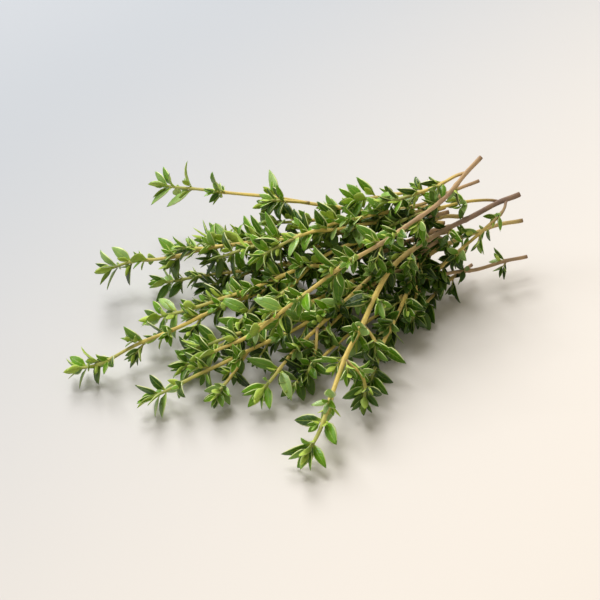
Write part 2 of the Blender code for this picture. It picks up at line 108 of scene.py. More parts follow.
SPRIGS = (
    SprigPlan("sprig_top", 0.75, 12, 38,
              ((64, 2, 42), (49, -4, 36), (30, -10, 32), (8, -14, 28), (-9, -17, 22),
               (-24, -18, 16), (-40, -13, 8)),
              (((58, 0, 40), (54, 0.5, 39.5), (47.5, 0, 38), (42, 0.5, 36.5), (36, 2, 34.5),
                (30, 5, 33)),),
              Bark.TAN, 0.7, 5, (11.5, 18.5, 27, 35.5, 47.5), 0.45, 1.05),
    SprigPlan("sprig_front", 0.9, 14, 87,
              ((77, -2, 27), (61, -4, 26), (47, -7, 25), (26, -13, 22), (8, -29, 17),
               (-2, -37, 14), (-15, -52, 9), (-25, -60, 5)),
              (((72, -3.5, 27), (68.5, -7, 26), (62.5, -7.5, 22), (52.5, -8.5, 16),
                (39.5, -9.5, 11), (32, -14, 8.5), (24, -21.5, 6)),
               ((70, -3, 27), (66, -1.5, 28), (59.5, -1, 29), (52, -1, 29.5), (42, -1, 29.5),
                (28, -2, 28)),
               ((8, -29, 17), (10, -33, 13), (7, -38, 10)),
               ((-2, -37, 14), (0.5, -41, 12.5), (1, -44.5, 10), (-0.5, -47.5, 7),
                (-2.5, -50, 5))),
              Bark.PURPLE, 0.45, 2.2, (10.5, 17.7, 32.3, 44.1, 56.8, 70.1),
              0.45, 1.08),
    SprigPlan("sprig_front_inner", 0.7, 9, 10,
              ((78, -4, 18), (68, -2.5, 17.5), (55, -2.5, 17), (42, -5, 16), (35, -11, 15),
               (23, -23, 12), (13, -32, 9), (2, -44, 5)),
              (((35, -11, 15), (31, -20, 11), (25, -27, 8)),),
              Bark.OCHRE, 0.5),
    SprigPlan("sprig_right_low", 0.62, 6, 50,
              ((77, -10, 8), (60, -9.5, 8.5), (44, -9.5, 9.5), (13, -19, 8), (-5, -27, 7),
               (-20, -34, 4)), (), Bark.BROWN, 0.6, 5,
              (6.5, 12.5, 21.5, 32, 44, 56, 66, 76.5, 89.5), 0.0, 0.9),
    SprigPlan("sprig_upper_middle", 0.58, 9, 30,
              ((66, 5, 31), (48, 3, 30), (22, 5, 28), (-4, 14, 22), (-22, 23, 14)),
              (), Bark.TAN, 0.3),
    SprigPlan("sprig_front_left", 0.72, 6, 65,
              ((58, 8, 14), (47, 5, 15), (27, -6, 15), (10, -14, 14), (-8, -22, 11),
               (-24, -31, 7), (-32, -36, 5)),
              (((-2, -19, 12), (-7, -27, 8), (-13, -33, 6)),), Bark.BROWN, 0.5, 8,
              (9.2, 19, 32.3)),
    SprigPlan("sprig_left_low", 0.72, 7, -52,
              ((57, 2, 12), (46, -1, 14), (13, -11, 13), (-10, -16, 11), (-36, -19, 9),
               (-46, -21, 8), (-58, -20, 5)),
              (((-24, -18, 10), (-33, -24, 7), (-40, -29, 5)),), Bark.OCHRE, 0.4, 4.4,
              (9.1, 18.2, 30.2)),
    SprigPlan("sprig_leftmost", 0.75, 6, 38,
              ((55, 2, 17), (45, 3, 16), (10, 4, 14), (-19, 3, 12), (-48, 1, 8.5), (-63, -1, 7),
               (-73, 2, 5)),
              (((-12, 3, 12), (-22, 9, 10), (-30, 11, 8)),), Bark.TAN, 0.4, 3.7,
              (6.7, 10.4, 21.2, 30.5, 40.2), 0.45, 0.88),
    SprigPlan("sprig_middle_left", 0.7, 6, 55,
              ((58, 0, 23), (47, 2, 23), (6, 1, 20), (-15, 3, 15), (-31, 7, 11), (-46, 12, 7)),
              (((6, 1, 20), (-4, -4, 18), (-13, -6, 14)),)),
    SprigPlan("sprig_left_raised", 0.75, 6, 38,
              ((56, 8, 22), (32, 6, 22), (6, 15, 21), (-17, 24, 18), (-27, 27, 16),
               (-40, 34, 13), (-52, 37, 10)),
              (((-12, 22, 19), (-22, 23, 20), (-29, 27, 20)),), Bark.OCHRE, 0.4, 5,
              (7.1, 12.3, 22.7, 34.2, 49.4)),
    SprigPlan("sprig_back_raised", 0.66, 7, 38,
              ((54, 4, 19), (43, 8, 21), (24.5, 20.5, 23), (9, 32.5, 24), (-13, 50, 23),
               (-24, 61, 21.5)),
              (((17, 26, 23), (9, 27, 26), (2, 29, 27)),), Bark.OCHRE, 0.4, 5.7,
              (9.4, 20.4, 38, 57.8), 0.45, 1.12),
    SprigPlan("sprig_back_short", 0.62, 5, 45,
              ((52, 9, 17), (40, 12, 18), (20, 20, 20), (-1, 26, 21))),
    SprigPlan("sprig_back_middle", 0.62, 6, 60,
              ((54, 6, 12), (40, 7, 14), (7, 18, 15), (-19, 37, 14)),
              (((-4, 25, 15), (-7, 34, 13), (-13, 40, 11)),)),
    SprigPlan("sprig_back_low", 0.62, 6, 25,
              ((56, 5, 8), (45, 8, 8), (12, 14, 10), (-12, 21, 9), (-37, 31, 5))),
    SprigPlan("sprig_centre_low", 0.62, 5, 75,
              ((50, 3, 12), (28, -2, 13), (-9, -9, 12), (-32, -10, 10), (-41, -8, 9))),
    SprigPlan("sprig_crown", 0.58, 4, 35,
              ((53, 3, 30), (43, 7, 32), (31, 11, 31), (22, 15, 29))),
    SprigPlan("sprig_middle", 0.68, 5, 50,
              ((52, -1, 27), (40, 0, 26), (29, 0, 25), (10, 2, 18), (-10, 0, 13),
               (-26, -7, 8)), (), Bark.TAN),
    SprigPlan("sprig_middle_low", 0.62, 5, 5,
              ((50, -2, 17), (36, -7, 16), (20, -10, 15), (1, -19, 11), (-14, -26, 7)),
              (), Bark.BROWN, 0.5),
    SprigPlan("sprig_front_low", 0.64, 5, 70,
              ((58, -3, 12), (46, -7, 11), (31, -13, 10), (17, -24, 7), (9, -33, 5))),
    SprigPlan("sprig_left_floor", 0.6, 6, 20,
              ((54, 6, 9), (39, 5, 8), (3, 2, 6), (-26, -6, 5), (-45, -11, 4))),
    SprigPlan("sprig_back_floor", 0.6, 5, 85,
              ((50, 15, 7), (37, 15, 7), (5, 21, 7), (-25, 22, 5))),
    SprigPlan("sprig_upper_left", 0.64, 5, 15,
              ((50, 4, 26), (38, 3, 27), (21, 5, 28), (5, 7, 27), (-12, 8, 21))),
    SprigPlan("sprig_right_floor", 0.6, 5, 60,
              ((61, -3, 5), (51, -7, 5), (41, -12, 5), (29, -20, 4)), (), Bark.BROWN),
    SprigPlan("sprig_back_upper", 0.62, 5, 40,
              ((55, 12, 20), (45, 11, 23), (34, 11, 24), (18, 13, 22), (5, 22, 17),
               (-7, 33, 13))),
)


# -------- vectors

def unit(vectors: Array) -> Array:
    """The vectors at length one, along the last axis."""
    return vectors / np.maximum(np.linalg.norm(vectors, axis=-1, keepdims=True), 1e-12)


def turned(vector: Array, axis: Array, angle: float) -> Array:
    """A vector turned about a unit axis, by Rodrigues' rule.

    Args:
        vector: what is turned.
        axis: the unit axis.
        angle: in radians, by the right-hand rule.

    Returns:
        The turned vector.
    """
    along = axis * np.dot(axis, vector)
    return along + (vector - along) * math.cos(angle) + np.cross(axis, vector) * math.sin(angle)


def smoothstep(low: float, high: float, values: Array | float) -> Array:
    """A rise from 0 to 1 between low and high, level at both ends."""
    share = np.clip((values - low) / (high - low), 0, 1)
    return share * share * (3 - 2 * share)


def lengths(route: Array) -> Array:
    """Length along a line at each of its points."""
    return np.concatenate([[0], np.cumsum(np.linalg.norm(np.diff(route, axis=0), axis=1))])


def read_along(at: Array, along: Array, values: Array) -> Array:
    """Rows of numbers that are held at lengths along a line, read at other lengths."""
    return np.stack([np.interp(at, along, column) for column in values.T], axis=-1)


def gathered(rows: Sequence[tuple]) -> dict[str, Array]:
    """Each field of some leaves or stalks as one array, by the field's name."""
    return {name: np.array([getattr(row, name) for row in rows], float)
            for name in rows[0]._fields}


# -------- routes

@dataclass
class Strand:
    """One stem or side shoot as a line with a radius.

    Args:
        plan: the sprig that it belongs to.
        route: its points, from its start to its growing tip.
        radius: at each point.
        is_shoot: whether it starts on another stem.
    """

    plan: SprigPlan
    route: Array
    radius: Array
    is_shoot: bool
    along: Array = field(init=False)
    tangents: Array = field(init=False)
    sides: Array = field(init=False)

    def __post_init__(self) -> None:
        """Work out the lengths along the route, its directions and what is upright beside it."""
        self.along = lengths(self.route)
        self.tangents = unit(np.gradient(self.route, axis=0))
        self.sides = unit(np.array([[0.0, 0.0, 1.0]]) - self.tangents * self.tangents[:, 2:3])

    @property
    def length(self) -> float:
        """Length from the start to the growing tip."""
        return float(self.along[-1])

    def read(self, values: Array, at: Array) -> Array:
        """Values held at the route's points, read at lengths along it."""
        return read_along(at, self.along, values)

    def frame_at(self, at: float) -> tuple[Array, Array, Array, float]:
        """Point, tangent, side and radius at a length along the route."""
        place = self.read(self.route, np.array(at))
        tangent = unit(self.read(self.tangents, np.array(at)))
        side = self.read(self.sides, np.array(at))
        side = unit(side - tangent * np.dot(side, tangent))
        return place, tangent, side, float(np.interp(at, self.along, self.radius))


@dataclass
class Layout:
    """Lays the sprigs out: smooth routes, moved apart where they cross.

    Args:
        spacing: between the points of a route.
        fewest: points of the shortest route.
        span_steps: fine steps of the curve between two points of a plan.
        tip_radius: of every stem and shoot at its growing tip.
        shoot_radius: of a side shoot where it starts.
        shoot_tip_back: from a shoot's growing tip to the furthest reach of its leaves.
        clearance: free space wanted between two stems.
        lowest: from the surface to the underside of the lowest stem.
        rounds: how often the stems are pushed apart.
        push: shares of what a gap lacks that two stems move apart sideways, and upright.
        smooth_rounds: how often a move is evened out along its stem.
    """

    spacing: float = 1.7 * MM
    fewest: int = 6
    span_steps: int = 24
    tip_radius: float = 0.42 * MM
    shoot_radius: float = 0.5 * MM
    shoot_tip_back: float = 3 * MM
    clearance: float = 1.1 * MM
    lowest: float = 1.5 * MM
    rounds: int = 120
    push: tuple = (0.25, 0.45)
    smooth_rounds: int = 4

    def smooth_route(self, points_mm: Sequence) -> Array:
        """A Catmull-Rom curve through the points, read at equal steps of its length."""
        points = (np.array(points_mm, float) - MIDDLE_MM) * MM
        ends = np.vstack([2 * points[0] - points[1], points, 2 * points[-1] - points[-2]])
        share = np.linspace(0, 1, self.span_steps, endpoint=False)[:, None]
        a, b, c, d = (ends[k:len(ends) - 3 + k][:, None] for k in range(4))
        fine = 0.5 * (2 * b + (c - a) * share + (2 * a - 5 * b + 4 * c - d) * share ** 2
                      + (3 * b - a - 3 * c + d) * share ** 3)
        fine = np.vstack([fine.reshape(-1, 3), points[-1:]])
        along = lengths(fine)
        count = max(self.fewest, round(along[-1] / self.spacing) + 1)
        return read_along(np.linspace(0, along[-1], count), along, fine)

    def tapered(self, start_radius: float, count: int) -> Array:
        """Radius at each point, falling to the tip as the square root of the way left."""
        left = 1 - np.linspace(0, 1, count)
        return self.tip_radius + (start_radius - self.tip_radius) * left ** 0.5

    @staticmethod
    def upper_of(routes: Sequence[Array]) -> Array:
        """For each two strands, +1 where the first passes above the second, else -1."""
        order = np.ones((len(routes), len(routes)))
        for a, first in enumerate(routes):
            for b in range(a + 1, len(routes)):
                offset = first[:, None, :] - routes[b][None, :, :]
                nearest = np.argmin(np.linalg.norm(offset, axis=2))
                order[a, b] = 1.0 if offset.reshape(-1, 3)[nearest, 2] >= 0 else -1.0
                order[b, a] = -order[a, b]
        return order

    def smoothed(self, values: Array) -> Array:
        """The values with each one drawn to its neighbours along the strand."""
        for _ in range(self.smooth_rounds):
            padded = np.pad(values, ((1, 1), (0, 0)), mode="edge")
            values = 0.25 * padded[:-2] + 0.5 * padded[1:-1] + 0.25 * padded[2:]
        return values

    def spread_apart(self, routes: list[Array], radii: list[Array],
                     owners: list[int]) -> list[Array]:
        """Push strands of different sprigs apart, mostly up and down, until they clear.

        Args:
            routes: the strands' points.
            radii: the strands' radii at those points.
            owners: the number of each strand's sprig.

        Returns:
            The strands' points after the move.
        """
        counts = [len(route) for route in routes]
        strand = np.repeat(np.arange(len(routes)), counts)
        sprig = np.repeat(owners, counts)
        points, reach = np.vstack(routes), np.concatenate(radii)
        wanted = reach[:, None] + reach[None, :] + self.clearance
        wanted[sprig[:, None] == sprig[None, :]] = 0
        above = self.upper_of(routes)[strand[:, None], strand[None, :]]
        level_push, upright_push = self.push
        for _ in range(self.rounds):
            offset = points[:, None, :] - points[None, :, :]
            distance = np.linalg.norm(offset, axis=2) + 1e-9
            lacking = np.clip(wanted - distance, 0, None)
            level = np.einsum("ij,ijk->ik", level_push * lacking / distance, offset)[:, :2]
            rise = (upright_push * lacking * above).sum(axis=1)
            move = np.column_stack([level, rise])
            for number in range(len(routes)):
                move[strand == number] = self.smoothed(move[strand == number])
            points = points + move
            points[:, 2] = np.maximum(points[:, 2], reach + self.lowest)
        return [points[strand == number] for number in range(len(routes))]

    @staticmethod
    def cut_short(route: Array, by: float) -> Array:
        """A line that ends earlier by a length, with as many points as before."""
        along = lengths(route)
        return read_along(np.linspace(0, along[-1] - by, len(route)), along, route)

    def strands(self, plans: Sequence[SprigPlan]) -> list[Strand]:
        """Every stem and side shoot of the bunch, a side shoot starting on its stem's axis."""
        routes, radii, owners = [], [], []
        for number, plan in enumerate(plans):
            for points in (plan.route, *plan.shoots):
                routes.append(self.smooth_route(points))
                start = plan.cut_radius * MM if points is plan.route else self.shoot_radius
                radii.append(self.tapered(start, len(routes[-1])))
                owners.append(number)
        routes = self.spread_apart(routes, radii, owners)
        found, stem = [], None
        for route, radius, owner in zip(routes, radii, owners):
            plan = plans[owner]
            is_shoot = bool(found) and found[-1].plan is plan
            if not is_shoot:
                stem = route
            else:
                nearest = np.argmin(np.linalg.norm(stem - route[0], axis=1))
                left = np.linspace(1, 0, len(route))[:, None]
                route = route + (stem[nearest] - route[0]) * left
            back = self.shoot_tip_back if is_shoot else plan.tip_back * MM
            found.append(Strand(plan, self.cut_short(route, back), radius, is_shoot))
        return found


# -------- meshes

def put_in_scene(name: str, data: bpy.types.ID) -> bpy.types.Object:
    """A new object in the scene that shows a mesh, a light or a camera."""
    made = bpy.data.objects.new(name, data)
    bpy.context.scene.collection.objects.link(made)
    return made


def write_mesh(name: str, points: Array, faces: Sequence[Array], marks: dict[str, Array],
               material: bpy.types.Material) -> bpy.types.Object:
    """Put whole arrays into a smooth-shaded mesh object at the origin.

    Args:
        name: of the object and its mesh.
        points: the vertices, one row each.
        faces: arrays of corner numbers, each array with faces of one number of corners.
        marks: vectors held at the vertices, by attribute name.
        material: what the piece is made of.

    Returns:
        The new object.
    """
    mesh = bpy.data.meshes.new(name)
    corners = np.concatenate([face.ravel() for face in faces])
    sizes = np.concatenate([np.full(len(face), face.shape[1]) for face in faces])
    mesh.vertices.add(len(points))
    mesh.vertices.foreach_set("co", points.astype(np.float32).ravel())
    mesh.loops.add(len(corners))
    mesh.loops.foreach_set("vertex_index", corners.astype(np.int32))
    mesh.polygons.add(len(sizes))
    starts = np.concatenate([[0], np.cumsum(sizes)[:-1]])
    mesh.polygons.foreach_set("loop_start", starts.astype(np.int32))
    mesh.polygons.foreach_set("use_smooth", np.ones(len(sizes), bool))
    for mark, values in marks.items():
        held = mesh.attributes.new(mark, "FLOAT_VECTOR", "POINT")
        held.data.foreach_set("vector", values.astype(np.float32).ravel())
    mesh.update(calc_edges=True)
    mesh.validate()
    mesh.materials.append(material)
    return put_in_scene(name, mesh)


def rings_round(line: Array, side: Array, other: Array, across: Array, up: Array) -> Array:
    """A ring of points at each point of a line: across along its side and up along its other.

    Args:
        line: the line's points.
        side: unit directions at those points.
        other: unit directions across them.
        across: how far each of a ring's points lies along the side.
        up: how far it lies along the other.

    Returns:
        The points, with an axis for the ring.
    """
    return (line[..., None, :] + side[..., None, :] * across[..., None]
            + other[..., None, :] * up[..., None])


def ring_faces(copies: int, rings: int, around: int) -> tuple[Array, Array]:
    """Faces of closed tubes that each end in two poles.

    The vertices of one copy are its rings in turn, then its first pole and its last pole.

    Args:
        copies: number of tubes.
        rings: rings of each tube, without its poles.
        around: vertices of each ring.

    Returns:
        The quads between the rings, and the triangles round the poles.
    """
    step = np.arange(around)
    after = (step + 1) % around
    low = (np.arange(rings - 1) * around)[:, None]
    quads = np.stack([low + step, low + after, low + around + after, low + around + step],
                     axis=-1).reshape(-1, 4)
    last = (rings - 1) * around
    start_pole = np.full(around, rings * around)
    fans = np.concatenate([np.stack([start_pole, after, step], axis=-1),
                           np.stack([start_pole + 1, last + step, last + after], axis=-1)])
    shift = (np.arange(copies) * (rings * around + 2))[:, None, None]
    return (quads[None] + shift).reshape(-1, 4), (fans[None] + shift).reshape(-1, 3)


def soft_floor(points: Array, height: float, softness: float) -> Array:
    """Raise what would sink below a height, on a curve that meets it gently.

    The new height is the mean of z and the root of z squared plus softness squared, both taken
    from the height.

    Args:
        points: what to raise.
        height: that nothing sinks below.
        softness: how far above the height the curve starts.

    Returns:
        The raised points.
    """
    lifted = points.copy()
    z = points[..., 2] - height
    lifted[..., 2] = height + 0.5 * (z + np.sqrt(z * z + softness * softness))
    return lifted


# -------- leaves

class Leaf(NamedTuple):
    """One leaf that is still to be built.

    Args:
        base: where its stalk starts.
        heading: unit direction of the stalk.
        face: unit direction that its upper side looks in, across the heading.
        length: from stalk to tip.
        width: at its widest.
        bend: turn of the midrib from stalk to tip, backwards, in radians.
        fold: rise of the edges above the midrib, as a share of the half width.
        twist: turn of the blade about its midrib, in radians.
        age: 0 on a bud and 1 on a grown leaf.
        tint: a random number of its own, from 0 to 1.
    """

    base: Array
    heading: Array
    face: Array
    length: float
    width: float
    bend: float
    fold: float
    twist: float
    age: float
    tint: float


def middles(leaves: Sequence[Leaf]) -> Array:
    """Points half way along the leaves."""
    table = gathered(leaves)
    return table["base"] + table["heading"] * table["length"][:, None] / 2


def painted_crowd_shade(points: Array, leaves: Array, light: Array, beside_reach: float = 3.2 * MM,
             along_reach: float = 14 * MM, nearest: float = 1 * MM,
             weakness: float = 0.25) -> Array:
    """How much the leaves of the bunch crowd over each point towards the light, from 0 to 1,
    which is used as painted shade on the leaves.

    A leaf counts by a bell curve of its distance from the line through the point towards the
    light, times an exponential fall with its distance along that line. The result is one less
    the exponential of minus the weakness times the sum.

    Args:
        points: where to look from.
        leaves: middles of the bunch's leaves.
        light: unit direction of the light.
        beside_reach: width of the bell curve.
        along_reach: length of the exponential fall.
        nearest: how far along the line a leaf starts to count.
        weakness: how much one leaf counts.

    Returns:
        The amount of painted shade at each point.
    """
    offset = leaves[None] - points[:, None]
    along = offset @ light
    beside = (offset ** 2).sum(axis=2) - along ** 2
    weight = np.exp(-beside / beside_reach ** 2 - along / along_reach) * (along > nearest)
    return 1 - np.exp(-weakness * weight.sum(axis=1))


@dataclass
class LeafBlade:
    """Shape of a thyme leaf: a narrow ellipse on a short stalk, with its edges rolled under.

    Args:
        stations: where the rings lie along the midrib, as shares of the length.
        across: where a ring's points lie between the edges, as shares of the half width: the
            upper side from one edge to the other, then the underside back again.
        upper_points: how many of them are the upper side's, with both edges.
        skew: power of the share, which moves the widest place along the leaf.
        pointed: power of the sine, which makes the blade more pointed.
        stalk: half width of the stalk, as a share of the blade's.
        stalk_ends: where the blade takes over from the stalk, as shares of the length.
        steps: of a midrib's running sum.
        bend_power: of the share, which bends the midrib more towards its tip.
        thickness: of a grown leaf at its midrib.
        full_length: of the shortest leaves that are as thick as that.
        thinnest: of the shortest leaves, as a share of the thickness.
        end_thickness: of the blade's ends, as a share of the thickness.
        middle_thickness: what the blade's middle has on top of that.
        opens: where the fold and the roll begin and are full, as shares of the length.
        fold_power: of the share across, with which the fold rises.
        roll: how far the edges turn down, as a share of the half width.
        roll_power: of the share across, with which they do.
        rib: depth of the midrib under the blade.
        rib_width: width of the rib's bell curve, as a share of the half width.
        rib_fade: share of the rib's depth that is gone at the tip.
        floor: lowest height of a leaf's middle surface.
        softness: of the curve that keeps leaves above it.
    """

    stations: tuple = (0.05, 0.15, 0.30, 0.50, 0.70, 0.875)
    across: tuple = (1.0, 0.8, 0.0, -0.8, -1.0, -0.5, 0.0, 0.5)
    upper_points: int = 5
    skew: float = 0.88
    pointed: float = 0.85
    stalk: float = 0.17
    stalk_ends: tuple = (0.04, 0.24)
    steps: int = 40
    bend_power: float = 1.4
    thickness: float = 0.28 * MM
    full_length: float = 8 * MM
    thinnest: float = 0.45
    end_thickness: float = 0.55
    middle_thickness: float = 0.45
    opens: tuple = (0.08, 0.3)
    fold_power: float = 1.3
    roll: float = 0.26
    roll_power: float = 6
    rib: float = 0.22 * MM
    rib_width: float = 0.3
    rib_fade: float = 0.8
    floor: float = 0.25 * MM
    softness: float = 0.5 * MM

    def half_width(self, share: Array) -> Array:
        """Half width along the leaf: a stalk that widens into a lens-shaped blade.

        The blade is the sine of pi times the share to the skew, to the power of its pointedness.
        """
        blade = np.sin(math.pi * share ** self.skew) ** self.pointed
        spread = smoothstep(*self.stalk_ends, share)
        return self.stalk * (1 - spread) + blade * spread

    def midribs(self, leaves: dict[str, Array], shares: Array) -> tuple[Array, Array, Array]:
        """Lines of the midribs, each an arc that bends more towards its tip.

        The heading turns back by the bend times the share to the bend power, and the line is its
        running sum.

        Args:
            leaves: the leaves' fields.
            shares: where to read the lines, as shares of the length.

        Returns:
            Points, headings and face directions, with a row for each leaf and share.
        """
        base, heading, face = (leaves[name][:, None] for name in ("base", "heading", "face"))
        length = leaves["length"][:, None, None]
        fine = np.linspace(0, 1, self.steps + 1)
        angle = leaves["bend"][:, None] * fine ** self.bend_power
        step = np.diff(fine)[None]
        place = np.rint(shares * self.steps).astype(int)
        ways = []
        for wave in (np.cos(angle), np.sin(angle)):
            way = np.cumsum(0.5 * (wave[:, 1:] + wave[:, :-1]) * step, axis=1)
            ways.append(np.pad(way, ((0, 0), (1, 0)))[:, place, None] * length)
        angle = angle[:, place, None]
        return (base + heading * ways[0] - face * ways[1],
                heading * np.cos(angle) - face * np.sin(angle),
                face * np.cos(angle) + heading * np.sin(angle))

    def surfaces(self, leaves: dict[str, Array], shade: Array) -> tuple[Array, Array, Array]:
        """Vertices of closed leaves, with the marks that the finish reads.

        A ring's point lies across by its share of the half width. Its height is the fold times
        that share to the fold power, less the roll times the share to the roll power, plus or
        minus half of the thickness times the root of one less the share squared. The underside
        also drops by the rib, a bell curve about the midrib that fades towards the tip.

        Args:
            leaves: the leaves' fields.
            shade: painted shade for each of them, from how much other leaves crowd over it
                towards the light.

        Returns:
            Vertices of every leaf in turn, their place on the blade (share of the length, share
            of the half width, 1 on the upper side and 0 on the underside), and their leaf's age,
            tint and painted shade.
        """
        shares = np.array((*self.stations, 0.0, 1.0))
        middle, heading, face = self.midribs(leaves, shares)
        side = np.cross(face, heading)
        twist = leaves["twist"][:, None, None] * shares[None, :, None]
        side, face = (side * np.cos(twist) + face * np.sin(twist),
                      face * np.cos(twist) - side * np.sin(twist))
        rings, count = len(self.stations), len(shade)
        shares = shares[:rings]
        outline = self.half_width(shares)[None, :, None]
        half = (leaves["width"] / 2)[:, None, None] * outline
        across = np.array(self.across)[None, None, :]
        upper = (np.arange(len(self.across)) < self.upper_points)[None, None, :]
        thick = np.clip(leaves["length"] / self.full_length, self.thinnest, 1)
        thick = self.thickness * thick[:, None, None]
        thick = thick * (self.end_thickness + self.middle_thickness * outline)
        size = np.abs(across)
        open_up = smoothstep(*self.opens, shares)[None, :, None]
        rise = leaves["fold"][:, None, None] * half * size ** self.fold_power * open_up
        rise = rise - self.roll * half * size ** self.roll_power * open_up
        body = 0.5 * thick * np.sqrt(np.clip(1 - across ** 2, 0, 1))
        fade = (1 - self.rib_fade * shares)[None, :, None]
        rib = self.rib * np.exp(-(across / self.rib_width) ** 2) * fade * (thick / self.thickness)
        height = rise + np.where(upper, body, -body - rib)
        ring = rings_round(middle[:, :rings], side[:, :rings], face[:, :rings], half * across,
                           height)
        points = np.concatenate([ring.reshape(count, -1, 3), middle[:, rings:]], axis=1)
        points = soft_floor(points, self.floor, self.softness)
        blade = np.zeros((count, rings, len(self.across), 3))
        blade[..., 0] = shares[None, :, None]
        blade[..., 1] = across
        blade[..., 2] = np.where(size >= 1, 0.5, upper)
        ends = np.tile(np.array([[0.0, 0.0, 0.5], [1.0, 0.0, 0.5]]), (count, 1, 1))
        blade = np.concatenate([blade.reshape(count, -1, 3), ends], axis=1)
        marks = np.column_stack([leaves["age"], leaves["tint"], shade])
        marks = np.repeat(marks[:, None], points.shape[1], axis=1)
        return points.reshape(-1, 3), blade.reshape(-1, 3), marks.reshape(-1, 3)

    def build(self, name: str, leaves: Sequence[Leaf], shade: Array,
              material: bpy.types.Material) -> bpy.types.Object:
        """All the leaves of a list as one piece."""
        points, blade, marks = self.surfaces(gathered(leaves), shade)
        faces = ring_faces(len(leaves), len(self.stations), len(self.across))
        return write_mesh(name, points, faces, {"blade": blade, "leaf": marks}, material)


# -------- growth

class Twig(NamedTuple):
    """Stalk of a small shoot, which starts along its heading and bends towards its lean.

    Args:
        base: where it starts.
        heading: unit direction.
        lean: what the bend adds, as a share of the length.
        length: of the stalk.
        radius: where it starts.
    """

    base: Array
    heading: Array
    lean: Array
    length: float
    radius: float


@dataclass
class GrownSprig:
    """One sprig with its leaves, still to be built.

    Args:
        plan: the sprig.
        strands: its stem and side shoots.
        rng: source of its small differences.
        nodes: lengths along each strand where pairs of leaves stand.
        grown: its grown leaves.
        young: its young leaves.
        twigs: stalks of its small shoots.
    """

    plan: SprigPlan
    strands: list[Strand]
    rng: np.random.Generator
    nodes: list[Array] = field(default_factory=list)
    grown: list[Leaf] = field(default_factory=list)
    young: list[Leaf] = field(default_factory=list)
    twigs: list[Twig] = field(default_factory=list)


@dataclass(frozen=True)
class LeafHabit:
    """How leaves differ from each other, and how they change with age.

    Args:
        length: of a grown leaf.
        width: of a grown leaf.
        light: unit direction of the light that the leaves have turned their faces to.
        light_pull: how strongly they have.
        bud_pull: share of that pull on a bud.
        heading_spread: how much the stalks' directions differ.
        face_spread: how much the leaves turn about their stalks, in radians.
        lengths: least and greatest length, against what its size gives.
        widths: least and greatest width, against what its size gives.
        width_power: of the size, which keeps small leaves broad.
        dried_loss: share of the width lost for each unit of age above 1.
        bend: of a grown leaf: the least, what is added to it, and the power of that random share.
        bud_bend: how much a bud bends forwards.
        folds: least and greatest fold.
        bud_fold: what a bud has on top of that.
        twist_spread: how much the blades' twists differ.
    """

    length: float = 9.1 * MM
    width: float = 3.6 * MM
    light: tuple = (-0.26, -0.50, 0.82)
    light_pull: float = 1.25
    bud_pull: float = 0.35
    heading_spread: float = 0.07
    face_spread: float = 0.38
    lengths: tuple = (0.86, 1.12)
    widths: tuple = (0.84, 1.1)
    width_power: float = 0.85
    dried_loss: float = 0.85
    bend: tuple = (0.1, 1.15, 1.5)
    bud_bend: float = 0.2
    folds: tuple = (0.15, 0.50)
    bud_fold: float = 0.15
    twist_spread: float = 0.24

    def leaf(self, base: Array, tangent: Array, out: Array, opening: float, size: float,
             age: float, rng: np.random.Generator) -> Leaf:
        """A leaf on a stem, its upper side towards the growing tip.

        Args:
            base: where it stands.
            tangent: unit direction of the stem.
            out: unit direction away from the stem.
            opening: angle between the leaf and the stem above it.
            size: against a grown leaf.
            age: 0 on a bud, 1 on a grown leaf and 1.5 on one that has dried and curled.
            rng: source of its small differences.

        Returns:
            The leaf.
        """
        bud = max(0.0, 1 - age)
        heading = tangent * math.cos(opening) + out * math.sin(opening)
        heading = unit(heading + rng.normal(0, self.heading_spread, 3))
        face = tangent * math.sin(opening) - out * math.cos(opening)
        pull = self.bud_pull + (1 - self.bud_pull) * age
        face = face + np.array(self.light) * self.light_pull * pull
        face = unit(face - heading * np.dot(face, heading))
        face = turned(face, heading, rng.normal(0, self.face_spread))
        length = self.length * size * rng.uniform(*self.lengths)
        width = self.width * size ** self.width_power * rng.uniform(*self.widths)
        width = width * (1 - self.dried_loss * max(0.0, age - 1))
        least, more, power = self.bend
        bend = (least + more * rng.random() ** power) * age - self.bud_bend * bud
        fold = rng.uniform(*self.folds) + self.bud_fold * bud
        return Leaf(base, heading, face, length, width, bend, fold,
                    rng.normal(0, self.twist_spread), min(1.0, age), rng.random())


